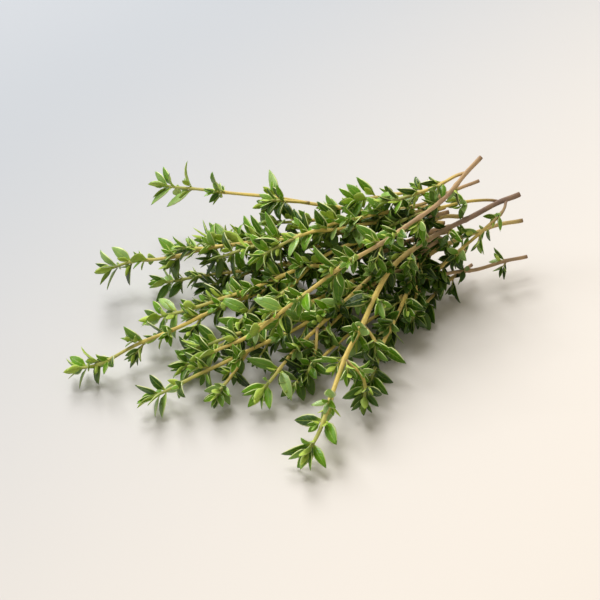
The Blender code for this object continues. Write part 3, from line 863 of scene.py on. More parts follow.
@dataclass(frozen=True)
class ShootHabit:
    """How the small shoots grow that stand above a leaf.

    A field with two numbers holds the least value and what full vigour or age adds to it. A field
    in the plural holds the limits of a random number.

    Args:
        spreads: angle between the shoot and the stem, in degrees.
        turn_spread: how much the shoots' turns about the stem differ.
        length_mm: of the stalk.
        lengths: what its length is multiplied by.
        lean: how much it bends back to the stem's direction.
        radius_mm: of the stalk.
        second_pair: chance of a second pair of leaves for each unit of vigour.
        third_pair: vigour above which there is one more.
        pair_step: between two pairs, as a share of the stalk.
        pair_turn_spread: how much the pairs' turns differ.
        old_size: of a leaf by its place on the shoot.
        strong_size: what that is multiplied by.
        opening: angle between a leaf and the shoot above it, in degrees.
        opening_spread: how much that angle differs, in degrees.
        age: of its leaves.
    """

    spreads: tuple = (22, 46)
    turn_spread: float = 0.25
    length_mm: tuple = (0.4, 6.5)
    lengths: tuple = (0.5, 1.1)
    lean: float = 0.2
    radius_mm: tuple = (0.22, 0.10)
    second_pair: float = 2.2
    third_pair: float = 0.48
    pair_step: float = 0.28
    pair_turn_spread: float = 0.2
    old_size: tuple = (0.26, 0.30)
    strong_size: tuple = (0.75, 0.55)
    opening: tuple = (14, 34)
    opening_spread: float = 6
    age: tuple = (0.2, 0.5)

    def grow(self, sprig: GrownSprig, start: Array, tangent: Array, out: Array, vigour: float,
             habit: LeafHabit) -> None:
        """Grow a small shoot: a short stalk with crossed pairs of young leaves.

        Args:
            sprig: takes its leaves and its stalk.
            start: where it stands on the stem.
            tangent: unit direction of the stem.
            out: unit direction away from the stem.
            vigour: 0 on a bud and 1 on a strong shoot.
            habit: of its leaves.
        """
        rng = sprig.rng
        spread = math.radians(rng.uniform(*self.spreads))
        axis = tangent * math.cos(spread) + out * math.sin(spread)
        axis = turned(axis, tangent, rng.normal(0, self.turn_spread))
        across = unit(np.cross(tangent, axis))
        length = self.length_mm[0] + self.length_mm[1] * vigour * rng.uniform(*self.lengths)
        length = length * MM
        lean = (tangent - axis) * self.lean
        radius = (self.radius_mm[0] + self.radius_mm[1] * vigour) * MM
        sprig.twigs.append(Twig(start, axis, lean, length, radius))
        pairs = 1 + (rng.random() < self.second_pair * vigour) + (vigour > self.third_pair)
        for pair in range(pairs):
            share = 1 - self.pair_step * (pairs - 1 - pair)
            place = start + axis * length * share + lean * length * share * share
            turn = math.pi / 2 * pair + rng.normal(0, self.pair_turn_spread)
            side = turned(across, axis, turn)
            old = 1 - pair / pairs
            size = ((self.old_size[0] + self.old_size[1] * old)
                    * (self.strong_size[0] + self.strong_size[1] * vigour))
            opening = self.opening[0] + self.opening[1] * old
            opening = math.radians(opening + rng.normal(0, self.opening_spread))
            age = self.age[0] + self.age[1] * old * vigour
            for half in (1, -1):
                sprig.young.append(habit.leaf(place, axis, side * half, opening, size, age, rng))


@dataclass
class Growth:
    """How thyme grows: crossed pairs of leaves, with a small shoot between each leaf and stem.

    Args:
        habit: of its leaves.
        shoots: habit of its small shoots.
        tuft: distances of the tip's crowded pairs from the growing tip, in millimetres, how big
            their leaves are against grown ones, and the angles between those leaves and the
            stem, in degrees.
        tuft_age: of the tip's innermost pair, and what each further pair adds.
        node_step: between pairs below the ones that a sprig's plan gives.
        node_steps: least and greatest step against that.
        shoot_nodes: distances of a side shoot's first pairs from its tip, in millimetres.
        shoot_bare: from its stem to a side shoot's lowest leaves.
        shoot_turn: how much further each strand of a sprig turns its leaves, in degrees.
        shoot_leaf: how big a side shoot's leaves are against its stem's.
        opening: between a grown leaf and the stem above it.
        opening_spread: how much that angle differs from leaf to leaf.
        out_spread: how much the pairs' turns about the stem differ from leaf to leaf.
        offset: from the stem's axis to where leaves start, as a share of its radius.
        shed_ends: where the shedding starts and is full, as shares of the way to the cut.
        top_size: size of leaves next to the tuft, and what they gain over the next.
        top_length: how far below the tip they have gained it.
        worn_ends: where the leaves start to dry and are driest, as shares of the way to the cut.
        worn_loss: share of the size that dried leaves lack.
        worn_age: what they have on top of their age.
        tip_vigour: of the small shoots next to the tip.
        vigour_rise: distances from the tip between which that grows.
        cut_loss: share of the vigour that is lost next to the cut.
        vigour_fall: where it starts and ends to fall, as shares of the way to the cut.
        vigours: least and greatest vigour against that.
    """

    habit: LeafHabit = LeafHabit()
    shoots: ShootHabit = ShootHabit()
    tuft: tuple = ((0.0, 0.56, 12), (0.7, 0.68, 26), (1.5, 0.79, 38), (2.5, 0.84, 48),
                   (3.6, 0.82, 56))
    tuft_age: tuple = (0.25, 0.24)
    node_step: float = 8.2 * MM
    node_steps: tuple = (0.82, 1.12)
    shoot_nodes: tuple = (4.5, 10, 18)
    shoot_bare: float = 4 * MM
    shoot_turn: float = 45
    shoot_leaf: float = 0.75
    opening: float = math.radians(54)
    opening_spread: float = 0.17
    out_spread: float = 0.13
    offset: float = 0.5
    shed_ends: tuple = (0.6, 0.9)
    top_size: tuple = (0.9, 0.1)
    top_length: float = 8 * MM
    worn_ends: tuple = (0.5, 0.92)
    worn_loss: float = 0.25
    worn_age: float = 0.5
    tip_vigour: float = 0.15
    vigour_rise: tuple = (6 * MM, 30 * MM)
    cut_loss: float = 0.75
    vigour_fall: tuple = (0.55, 0.9)
    vigours: tuple = (0.5, 1.0)

    def node_distances(self, strand: Strand, rng: np.random.Generator) -> list[float]:
        """Distances of the pairs below the tip's tuft, from the growing tip."""
        bare = self.shoot_bare if strand.is_shoot else strand.plan.bare * MM
        given = self.shoot_nodes if strand.is_shoot else strand.plan.nodes
        distances = [distance * MM for distance in given]
        while distances[-1] < strand.length:
            distances.append(distances[-1] + self.node_step * rng.uniform(*self.node_steps))
        return [distance for distance in distances if distance < strand.length - bare]

    def vigour(self, distance: float, strand: Strand, rng: np.random.Generator) -> float:
        """How strong the shoots at a pair are: most in the stem's middle, least at its ends."""
        rise = float(smoothstep(*self.vigour_rise, distance))
        rise = self.tip_vigour + (1 - self.tip_vigour) * rise
        fall = 1 - self.cut_loss * float(smoothstep(*self.vigour_fall, distance / strand.length))
        return rise * fall * rng.uniform(*self.vigours)

    def pair(self, sprig: GrownSprig, leaves: list[Leaf], strand: Strand, at: float, turn: float,
             opening: float, size: float, age: float) -> list[Array]:
        """Set a pair of leaves across from each other.

        Args:
            sprig: whose leaves they are.
            leaves: list of the sprig that takes them.
            strand: the stem.
            at: length along it.
            turn: of the pair about the stem, from upright, in radians.
            opening: angle between the leaves and the stem above them.
            size: against a grown leaf.
            age: as a leaf's.

        Returns:
            The unit directions in which the two stand off the stem.
        """
        point, tangent, side, radius = strand.frame_at(at)
        outs = []
        gone = strand.plan.shed * float(smoothstep(*self.shed_ends, 1 - at / strand.length))
        for half in (0, math.pi):
            out = turned(side, tangent, turn + half + sprig.rng.normal(0, self.out_spread))
            if sprig.rng.random() < gone and not strand.is_shoot:
                continue
            angle = opening + sprig.rng.normal(0, self.opening_spread)
            leaves.append(self.habit.leaf(point + out * radius * self.offset, tangent, out, angle,
                                          size, age, sprig.rng))
            outs.append(out)
        return outs

    def grow(self, sprig: GrownSprig, strand: Strand, number: int) -> None:
        """Grow one stem's leaves and small shoots, and note where its pairs stand.

        Args:
            sprig: takes them.
            strand: the stem or side shoot.
            number: its place among its sprig's strands.
        """
        turn = math.radians(strand.plan.turn + self.shoot_turn * number)
        scale = strand.plan.leaf * (self.shoot_leaf if strand.is_shoot else 1.0)
        for place, (distance, size, opening) in enumerate(self.tuft):
            age = min(1.0, self.tuft_age[0] + self.tuft_age[1] * place)
            self.pair(sprig, sprig.young, strand, strand.length - distance * MM,
                      turn - (len(self.tuft) - place) * math.pi / 2, math.radians(opening),
                      size * scale, age)
        nodes = []
        for place, distance in enumerate(self.node_distances(strand, sprig.rng)):
            nodes.append(strand.length - distance)
            worn = float(smoothstep(*self.worn_ends, distance / strand.length))
            gain = self.top_size[1] * min(1.0, distance / self.top_length)
            size = scale * (self.top_size[0] + gain) * (1 - self.worn_loss * worn)
            outs = self.pair(sprig, sprig.grown, strand, nodes[-1], turn + place * math.pi / 2,
                             self.opening, size, 1 + self.worn_age * worn)
            point, tangent, _, radius = strand.frame_at(nodes[-1])
            for out in outs:
                vigour = self.vigour(distance, strand, sprig.rng)
                self.shoots.grow(sprig, point + out * radius * self.offset, tangent, out, vigour,
                                 self.habit)
        sprig.nodes.append(np.array(nodes))


# -------- stems

@dataclass
class StemTube:
    """Shape of a thyme stem: a tapered tube, a little square, with a swelling at each node.

    Args:
        around: vertices round the stem.
        ring_step: between its rings.
        fewest: rings of the shortest stem.
        square: how much its corners stand out, as a share of the radius.
        node_swell: how much thicker it is at a node.
        node_reach: how far along the stem that swelling reaches.
        ripples: height, as a share of the radius, and length of each ripple.
        wander: how far its line strays from the route.
        wander_lengths: of the two sines that it strays by.
        wander_ease: length of an end over which it stops straying.
        spin: turn of the whole ring for each unit of the phase.
        domes: how far the pole of the cut lies inside, and the tip's outside.
        face_mark: length that marks the cut face.
        ripe_power: of the way left to the tip, over the woodiness.
        shoot_woodiness: how far up the bark's colour reaches on a side shoot.
        shoot_ripeness: of a side shoot where it starts.
        phases: what the ripples' phase gains with each strand and each letter of the name.
        twig_around: vertices round a small shoot's stalk.
        twig_rings: rings of a small shoot's stalk.
        twig_taper: share of its radius that it loses.
        twig_dome: how far its tip's pole stands out.
        twig_ripeness: of the stalk, which is green.
        twig_side: direction that its rings start from, which no stalk runs along.
    """

    around: int = 12
    ring_step: float = 0.8 * MM
    fewest: int = 8
    square: float = 0.11
    node_swell: float = 0.30
    node_reach: float = 0.55 * MM
    ripples: tuple = ((0.03, 2.3 * MM), (0.02, 0.9 * MM))
    wander: float = 0.22 * MM
    wander_lengths: tuple = (4.1 * MM, 5.3 * MM)
    wander_ease: float = 8 * MM
    spin: float = 0.3
    domes: tuple = (0.10 * MM, 0.3 * MM)
    face_mark: float = -1 * MM
    ripe_power: float = 0.4
    shoot_woodiness: float = 0.25
    shoot_ripeness: float = 0.85
    phases: tuple = (1.7, 0.013)
    twig_around: int = 6
    twig_rings: int = 5
    twig_taper: float = 0.35
    twig_dome: float = 0.1 * MM
    twig_ripeness: float = 0.08
    twig_side: tuple = (0.31, 0.52, 0.80)

    def profile(self, strand: Strand, at: Array, nodes: Array, phase: float) -> Array:
        """Radius at lengths along a stem: its taper, with a bell-shaped swelling at each node."""
        radius = np.interp(at, strand.along, strand.radius)
        near = np.exp(-((at[:, None] - nodes[None, :]) / self.node_reach) ** 2).sum(axis=1)
        ripple = sum(height * np.sin(at / length + phase) for height, length in self.ripples)
        return radius * (1 + self.node_swell * np.clip(near, 0, 1) + ripple)

    def ripeness(self, strand: Strand, at: Array) -> Array:
        """From 0 at a green tip to 1 at a woody cut, a power of the share of the way left."""
        reach = self.shoot_woodiness if strand.is_shoot else strand.plan.woodiness
        ripe = np.clip(1 - at / strand.length, 0, 1) ** (self.ripe_power / reach)
        return self.shoot_ripeness * ripe if strand.is_shoot else ripe

    def tube(self, strand: Strand, nodes: Array, phase: float) -> tuple[Array, Array]:
        """Vertices of one closed stem and their marks.

        A ring's point lies at the radius times one plus the squareness times the cosine of four
        times its angle. The line strays from the route by two sines, and not at its ends.

        Args:
            strand: the line to follow.
            nodes: lengths along it where leaves stand.
            phase: a number that makes its ripples its own.

        Returns:
            Vertices, and their length along the stem in metres, angle in turns and ripeness.
        """
        count = max(self.fewest, round(strand.length / self.ring_step))
        at = np.linspace(0, strand.length, count)
        place, tangent = strand.read(strand.route, at), unit(strand.read(strand.tangents, at))
        side = strand.read(strand.sides, at)
        side = unit(side - tangent * (side * tangent).sum(axis=1, keepdims=True))
        other = np.cross(tangent, side)
        ease = (smoothstep(0, self.wander_ease, at)
                * smoothstep(0, self.wander_ease, strand.length - at))
        stray = self.wander * ease[:, None]
        side_length, other_length = self.wander_lengths
        place = (place + side * np.sin(at / side_length + phase)[:, None] * stray
                 + other * np.sin(at / other_length + 2 * phase)[:, None] * stray)
        angle = np.linspace(0, 2 * math.pi, self.around, endpoint=False)
        spin = angle[None, :] + self.spin * phase
        radius = self.profile(strand, at, nodes, phase)[:, None]
        radius = radius * (1 + self.square * np.cos(4 * angle)[None, :])
        rings = rings_round(place, side, other, radius * np.cos(spin), radius * np.sin(spin))
        poles = np.stack([place[k] + tangent[k] * dome for k, dome in zip((0, -1), self.domes)])
        ripe = self.ripeness(strand, at)
        marks = np.zeros((count, self.around, 3))
        marks[..., 0] = at[:, None]
        marks[..., 1] = (angle / (2 * math.pi))[None, :]
        marks[..., 2] = ripe[:, None]
        ends = np.array([[self.face_mark, 0.0, ripe[0]], [strand.length, 0.0, ripe[-1]]])
        return (np.concatenate([rings.reshape(-1, 3), poles]),
                np.concatenate([marks.reshape(-1, 3), ends]))

    def twigs(self, twigs: Sequence[Twig]) -> tuple[Array, Array]:
        """Vertices and marks of the small shoots' stalks, each a bent and tapered tube.

        A stalk's line is its heading times the way along, plus its lean times that way squared.
        """
        table = gathered(twigs)
        share = np.linspace(0, 1, self.twig_rings)
        base, heading, lean = (table[name][:, None] for name in ("base", "heading", "lean"))
        way = table["length"][:, None, None] * share[None, :, None]
        middle = base + heading * way + lean * way * share[None, :, None]
        tangent = unit(heading + 2 * lean * share[None, :, None])
        side = unit(np.cross(tangent, np.array(self.twig_side)))
        other = np.cross(tangent, side)
        angle = np.linspace(0, 2 * math.pi, self.twig_around, endpoint=False)
        radius = (table["radius"][:, None] * (1 - self.twig_taper * share))[..., None]
        ring = rings_round(middle, side, other, radius * np.cos(angle), radius * np.sin(angle))
        poles = np.stack([middle[:, 0], middle[:, -1] + tangent[:, -1] * self.twig_dome], axis=1)
        points = np.concatenate([ring.reshape(len(twigs), -1, 3), poles], axis=1)
        marks = np.zeros((len(twigs), points.shape[1], 3))
        marks[..., 0] = np.linalg.norm(points - base, axis=2)
        marks[..., 2] = self.twig_ripeness
        return points.reshape(-1, 3), marks.reshape(-1, 3)

    def build(self, name: str, sprig: GrownSprig,
              material: bpy.types.Material) -> bpy.types.Object:
        """A sprig's stem, side shoots and small shoots' stalks as one piece."""
        parts = []
        by_strand, by_letter = self.phases
        for number, (strand, nodes) in enumerate(zip(sprig.strands, sprig.nodes)):
            tube, marks = self.tube(strand, nodes, by_strand * number + by_letter * len(name))
            rings = (len(tube) - 2) // self.around
            parts.append((tube, marks, ring_faces(1, rings, self.around)))
        if sprig.twigs:
            faces = ring_faces(len(sprig.twigs), self.twig_rings, self.twig_around)
            parts.append((*self.twigs(sprig.twigs), faces))
        used = np.cumsum([0] + [len(tube) for tube, _, _ in parts])
        faces = [face + shift for (_, _, pair), shift in zip(parts, used) for face in pair]
        return write_mesh(name, np.concatenate([tube for tube, _, _ in parts]), faces,
                          {"bark": np.concatenate([marks for _, marks, _ in parts])}, material)


# -------- finishes

class Graph:
    """Adds and joins the nodes of one shader tree."""

    def __init__(self, tree: bpy.types.NodeTree) -> None:
        """Start on a tree."""
        self.tree = tree

    def put(self, socket: bpy.types.NodeSocket, value: object) -> None:
        """Link an output to a socket, or write a constant into it."""
        if isinstance(value, bpy.types.NodeSocket):
            self.tree.links.new(value, socket)
        elif isinstance(value, tuple) and len(value) == 3 and socket.type == "RGBA":
            socket.default_value = (*value, 1.0)
        else:
            socket.default_value = value

    def fill(self, node: bpy.types.Node, values: dict[str, object]) -> bpy.types.Node:
        """The node, with what its inputs take by name."""
        for name, value in values.items():
            self.put(node.inputs[name], value)
        return node

    def add(self, kind: str, values: Sequence = (), **settings: object) -> bpy.types.Node:
        """A new node with its settings, and with what its first inputs take."""
        node = self.tree.nodes.new(kind)
        for name, value in settings.items():
            setattr(node, name, value)
        for socket, value in zip(node.inputs, values):
            self.put(socket, value)
        return node

    def maths(self, operation: str, *values: object) -> bpy.types.NodeSocket:
        """The result of a Math node."""
        return self.add("ShaderNodeMath", values, operation=operation).outputs[0]

    def ease(self, value: object, low: float, high: float, to_low: float = 0.0,
             to_high: float = 1.0) -> bpy.types.NodeSocket:
        """A smooth step of a value between two limits."""
        return self.add("ShaderNodeMapRange", (value, low, high, to_low, to_high),
                        interpolation_type="SMOOTHSTEP").outputs[0]

    def blend(self, share: object, first: object, second: object,
              kind: str = "MIX") -> bpy.types.NodeSocket:
        """Two colours mixed."""
        node = self.add("ShaderNodeMix", (share,), data_type="RGBA", blend_type=kind)
        colours = [socket for socket in node.inputs if socket.type == "RGBA"]
        self.put(colours[0], first)
        self.put(colours[1], second)
        return next(socket for socket in node.outputs if socket.type == "RGBA")

    def tinted(self, colour: object, mask: object, strength: float,
               tint: object) -> bpy.types.NodeSocket:
        """A colour mixed with another by a mask times a strength."""
        return self.blend(self.maths("MULTIPLY", mask, strength), colour, tint)

    def noise(self, place: object, scale: object, detail: float = 2.0,
              rough: float = 0.5) -> bpy.types.NodeSocket:
        """The value of a noise."""
        values = {"Vector": place, "Scale": scale, "Detail": detail, "Roughness": rough}
        return self.fill(self.add("ShaderNodeTexNoise"), values).outputs["Fac"]

    def bump(self, relief: object, strength: float, height: float) -> bpy.types.NodeSocket:
        """The normal of a relief."""
        values = {"Strength": strength, "Distance": height, "Height": relief}
        return self.fill(self.add("ShaderNodeBump"), values).outputs[0]

    def parts(self, vector: object) -> list[bpy.types.NodeSocket]:
        """The three numbers of a vector."""
        return list(self.add("ShaderNodeSeparateXYZ", (vector,)).outputs)

    def vector(self, *numbers: object) -> bpy.types.NodeSocket:
        """A vector from three numbers."""
        return self.add("ShaderNodeCombineXYZ", numbers).outputs[0]

    def held(self, name: str) -> bpy.types.NodeSocket:
        """A vector held at the mesh's vertices."""
        return self.add("ShaderNodeAttribute", attribute_name=name).outputs["Vector"]

    def place(self) -> bpy.types.NodeSocket:
        """The place on the piece, in its own metres."""
        return self.add("ShaderNodeTexCoord").outputs["Object"]

    def group(self, tree: bpy.types.NodeTree, **values: object) -> Sockets:
        """The outputs of a group node with its inputs filled."""
        return self.fill(self.add("ShaderNodeGroup", node_tree=tree), values).outputs

    def mottled(self, mottle: bpy.types.NodeTree, colour: object, scale: float,
                depth: float) -> Sockets:
        """A colour made uneven by the mottle group, and the group's value."""
        return self.group(mottle, Colour=colour, Place=self.place(), Scale=scale, Depth=depth)


def new_material(name: str) -> tuple[bpy.types.Material, Graph, bpy.types.Node]:
    """A new material, a graph for its nodes, and its shader."""
    material = bpy.data.materials.new(name)
    material.use_nodes = True
    tree = material.node_tree
    return material, Graph(tree), tree.nodes["Principled BSDF"]


def new_group(name: str, inputs: dict[str, tuple[str, object]],
              outputs: dict[str, str]) -> tuple[bpy.types.NodeTree, Graph, Sockets, Sockets]:
    """An empty shader node group.

    Args:
        name: of the group.
        inputs: kind of socket and starting value, by input name.
        outputs: kind of socket, by output name.

    Returns:
        The group, a graph to fill it with, the sockets of its input node and those of its
        output node.
    """
    tree = bpy.data.node_groups.new(name, "ShaderNodeTree")
    for label, (kind, value) in inputs.items():
        socket = tree.interface.new_socket(label, in_out="INPUT", socket_type=kind)
        if value is not None:
            socket.default_value = value
    for label, kind in outputs.items():
        tree.interface.new_socket(label, in_out="OUTPUT", socket_type=kind)
    graph = Graph(tree)
    start, end = graph.add("NodeGroupInput"), graph.add("NodeGroupOutput")
    return tree, graph, start.outputs, end.inputs


def mottle_group() -> bpy.types.NodeTree:
    """Uneven colour in patches and specks, used on leaves and bark.

    The colour is multiplied by one, plus the depth times two noises taken about their mean.
    """
    tree, graph, given, wanted = new_group(
        "Mottle",
        {"Colour": ("NodeSocketColor", (0.5, 0.5, 0.5, 1)), "Place": ("NodeSocketVector", None),
         "Scale": ("NodeSocketFloat", 200.0), "Depth": ("NodeSocketFloat", 0.2)},
        {"Colour": "NodeSocketColor", "Value": "NodeSocketFloat"})
    patch_share, speck_share, speck_scale, blue_loss = 1.55, 0.45, 5.3, 0.25
    patches = graph.noise(given["Place"], given["Scale"])
    scale = graph.maths("MULTIPLY", given["Scale"], speck_scale)
    specks = graph.noise(given["Place"], scale, 3.0, 0.6)
    both = graph.maths("MULTIPLY_ADD", specks, speck_share,
                       graph.maths("MULTIPLY", patches, patch_share))
    value = graph.maths("SUBTRACT", both, 1.0)
    factor = graph.maths("MULTIPLY_ADD", value, given["Depth"], 1.0)
    blue = graph.maths("MULTIPLY_ADD", value, -blue_loss, factor)
    tint = graph.vector(factor, factor, blue)
    graph.put(wanted["Colour"], graph.blend(1.0, given["Colour"], tint, "MULTIPLY"))
    graph.put(wanted["Value"], value)
    return tree


def vein_group() -> bpy.types.NodeTree:
    """Midrib, side veins, rim and stalk of a leaf, from its place on the blade.

    The side veins are sines that run forward from the midrib, and the masks fade with smooth
    steps of the share of the half width or of the length.
    """
    tree, graph, given, wanted = new_group(
        "Leaf veins", {"Blade": ("NodeSocketVector", None)},
        {name: "NodeSocketFloat" for name in ("Upper", "Midrib", "Veins", "Rim", "Stalk")})
    rib_width, rib_taper, vein_slope, vein_waves = 0.17, 0.08, 0.17, 44.0
    share, across, upper = graph.parts(given["Blade"])
    size = graph.maths("ABSOLUTE", across)
    width = graph.maths("MULTIPLY_ADD", share, -rib_taper, rib_width)
    phase = graph.maths("MULTIPLY_ADD", size, -vein_slope, share)
    wave = graph.maths("SINE", graph.maths("MULTIPLY", phase, vein_waves))
    inner = graph.ease(size, 0.55, 0.95, 1.0, 0.0)
    masks = {"Upper": graph.ease(upper, 0.35, 0.65),
             "Midrib": graph.ease(graph.maths("DIVIDE", size, width), 0.25, 1.0, 1.0, 0.0),
             "Veins": graph.maths("MULTIPLY", graph.ease(wave, 0.55, 1.0), inner),
             "Rim": graph.ease(size, 0.74, 0.97),
             "Stalk": graph.ease(share, 0.06, 0.24, 1.0, 0.0)}
    for name, mask in masks.items():
        graph.put(wanted[name], mask)
    return tree


@dataclass(frozen=True)
class LeafFinish:
    """Satin green leaf with a paler, felted underside.

    Args:
        name: of the material.
        young: upper side of a bud.
        grown: upper side of a grown leaf.
        deep: the darkest grown leaves.
        bloom_and_sheen: greyish colour on a random share of leaves, partly their own waxy
            greyness and partly a painted sheen.
        under_young: underside of a bud.
        under_grown: underside of a grown leaf.
        vein: midrib and stalk.
        rim: pale thin edge of the blade, partly the paler rolled-under edge and partly a painted
            highlight.
        shaded: painted shade, what the colours are multiplied by on leaves that others crowd over
            towards the light.
        rough: roughness of the underside and of the upper side.
        rough_mottle: how much the mottle changes it.
        mottle: scale and depth of the uneven colour.
        gland_scale: of the dots of oil in the leaf.
        grain_scale: of its fine grain.
        reliefs: shares that the side veins, the midrib, the glands and the grain have in the
            relief.
        bump: strength and height of the relief.
    """

    name: str = "leaf_green"
    young: Colour = (0.196, 0.410, 0.004)
    grown: Colour = (0.140, 0.340, 0.006)
    deep: Colour = (0.021, 0.078, 0.001)
    bloom_and_sheen: Colour = (0.365, 0.535, 0.185)
    under_young: Colour = (0.460, 0.610, 0.075)
    under_grown: Colour = (0.420, 0.570, 0.090)
    vein: Colour = (0.540, 0.670, 0.080)
    rim: Colour = (0.950, 1.000, 0.480)
    shaded: Colour = (0.20, 0.27, 0.04)
    rough: tuple = (0.60, 0.31)
    rough_mottle: float = 0.10
    mottle: tuple = (330.0, 0.45)
    gland_scale: float = 2600.0
    grain_scale: float = 1500.0
    reliefs: tuple = (-0.35, -1.2, 0.22, 0.6)
    bump: tuple = (0.55, 0.12 * MM)

    def material(self, mottle: bpy.types.NodeTree,
                 veins: bpy.types.NodeTree) -> bpy.types.Material:
        """The finish as a material."""
        material, graph, shader = new_material(self.name)
        mark = graph.group(veins, Blade=graph.held("blade"))
        age, tint, shade = graph.parts(graph.held("leaf"))
        midrib, ribs = mark["Midrib"], mark["Veins"]
        top = graph.blend(age, self.young, self.grown)
        aged = graph.maths("MULTIPLY_ADD", age, 0.6, 0.4)
        dark = graph.maths("MULTIPLY", graph.ease(tint, 0.35, 0.95), aged)
        top = graph.blend(dark, top, self.deep)
        # Greyish tint on a random share of leaves: partly their own waxy greyness, partly a
        # painted sheen.
        top = graph.blend(graph.ease(tint, 0.0, 0.38, 0.85, 0.0), top, self.bloom_and_sheen)
        vein_mask = graph.maths("MAXIMUM", graph.maths("MULTIPLY", midrib, 0.32),
                                graph.maths("MULTIPLY", ribs, 0.08))
        top = graph.blend(vein_mask, top, self.vein)
        # Pale edge: partly the paler rolled-under edge, partly a painted highlight.
        top = graph.tinted(top, mark["Rim"], 0.8, self.rim)
        under = graph.blend(age, self.under_young, self.under_grown)
        under = graph.tinted(under, midrib, 0.6, self.vein)
        colour = graph.blend(mark["Upper"], under, top)
        colour = graph.tinted(colour, mark["Stalk"], 0.75, self.vein)
        # Painted shade: leaves that others crowd over towards the light are darkened.
        colour = graph.blend(graph.ease(shade, 0.35, 0.95), colour, self.shaded, "MULTIPLY")
        patch = graph.mottled(mottle, colour, *self.mottle)
        rough = graph.ease(mark["Upper"], 0.0, 1.0, *self.rough)
        glands = graph.fill(graph.add("ShaderNodeTexVoronoi", feature="F1"),
                            {"Vector": graph.place(), "Scale": self.gland_scale})
        pits = graph.ease(glands.outputs["Distance"], 0.08, 0.32)
        grain = graph.noise(graph.place(), self.grain_scale, 3.0)
        relief = 0.0
        for height, share in zip((ribs, midrib, pits, grain), self.reliefs):
            relief = graph.maths("MULTIPLY_ADD", height, share, relief)
        graph.fill(shader, {
            "Base Color": patch["Colour"],
            "Roughness": graph.maths("MULTIPLY_ADD", patch["Value"], self.rough_mottle, rough),
            "Normal": graph.bump(relief, *self.bump),
            "Specular IOR Level": 0.46, "Sheen Weight": 0.03, "Sheen Roughness": 0.45,
            "Subsurface Weight": 0.06, "Subsurface Radius": (0.6, 1.0, 0.25),
            "Subsurface Scale": 0.6 * MM})
        return material


@dataclass(frozen=True)
class BarkFinish:
    """Stem that is woody at its cut, straw-coloured along its middle and green at its tip.

    Args:
        bark: colour at the cut end.
        straw: colour along the middle.
        green: colour at the growing tip.
        dried: bark next to the cut.
        cut: colour of the cut face.
        streak: what the colours are multiplied by in the grain's dark streaks.
        streak_depth: of the streaks on green stems, and what woody ones add.
        grain_stretch: of the grain along the stem.
        grain_scale: of the grain round it.
        mottle: scale and depth of the uneven colour.
        rough: roughness.
        rough_mottle: how much the mottle changes it.
        bump: strength and height of the grain's relief.
    """

    bark: Bark
    straw: Colour = (0.76, 0.585, 0.160)
    green: Colour = (0.46, 0.50, 0.13)
    dried: Colour = (0.24, 0.135, 0.075)
    cut: Colour = (0.26, 0.155, 0.080)
    streak: Colour = (0.50, 0.42, 0.34)
    streak_depth: tuple = (0.14, 0.42)
    grain_stretch: float = 55.0
    grain_scale: float = 5.5
    mottle: tuple = (240.0, 0.5)
    rough: float = 0.62
    rough_mottle: float = 0.12
    bump: tuple = (0.6, 0.16 * MM)

    def material(self, mottle: bpy.types.NodeTree) -> bpy.types.Material:
        """The finish as a material."""
        material, graph, shader = new_material("stem_bark_" + self.bark.name.lower())
        along, around, ripe = graph.parts(graph.held("bark"))
        colour = graph.blend(graph.ease(ripe, 0.02, 0.25), self.green, self.straw)
        colour = graph.blend(graph.ease(ripe, 0.5, 0.85), colour, self.bark.value)
        turn = graph.maths("MULTIPLY", around, 2 * math.pi)
        place = graph.vector(graph.maths("COSINE", turn), graph.maths("SINE", turn),
                             graph.maths("MULTIPLY", along, self.grain_stretch))
        grain = graph.noise(place, self.grain_scale, 4.0, 0.65)
        green_depth, woody_depth = self.streak_depth
        depth = graph.maths("MULTIPLY_ADD", ripe, woody_depth, green_depth)
        darker = graph.blend(1.0, colour, self.streak, "MULTIPLY")
        streak = graph.maths("SUBTRACT", 1.0, graph.ease(grain, 0.35, 0.68))
        colour = graph.blend(graph.maths("MULTIPLY", streak, depth), colour, darker)
        patch = graph.mottled(mottle, colour, *self.mottle)
        dried = graph.ease(along, 0.2 * MM, 1.8 * MM, 0.65, 0.0)
        colour = graph.blend(dried, patch["Colour"], self.dried)
        face = graph.ease(along, -0.4 * MM, -0.05 * MM, 1.0, 0.0)
        rough = graph.maths("MULTIPLY_ADD", patch["Value"], self.rough_mottle, self.rough)
        graph.fill(shader, {
            "Base Color": graph.blend(face, colour, self.cut), "Roughness": rough,
            "Normal": graph.bump(grain, *self.bump),
            "Sheen Weight": 0.08, "Sheen Roughness": 0.4})
        return material


# -------- the bunch

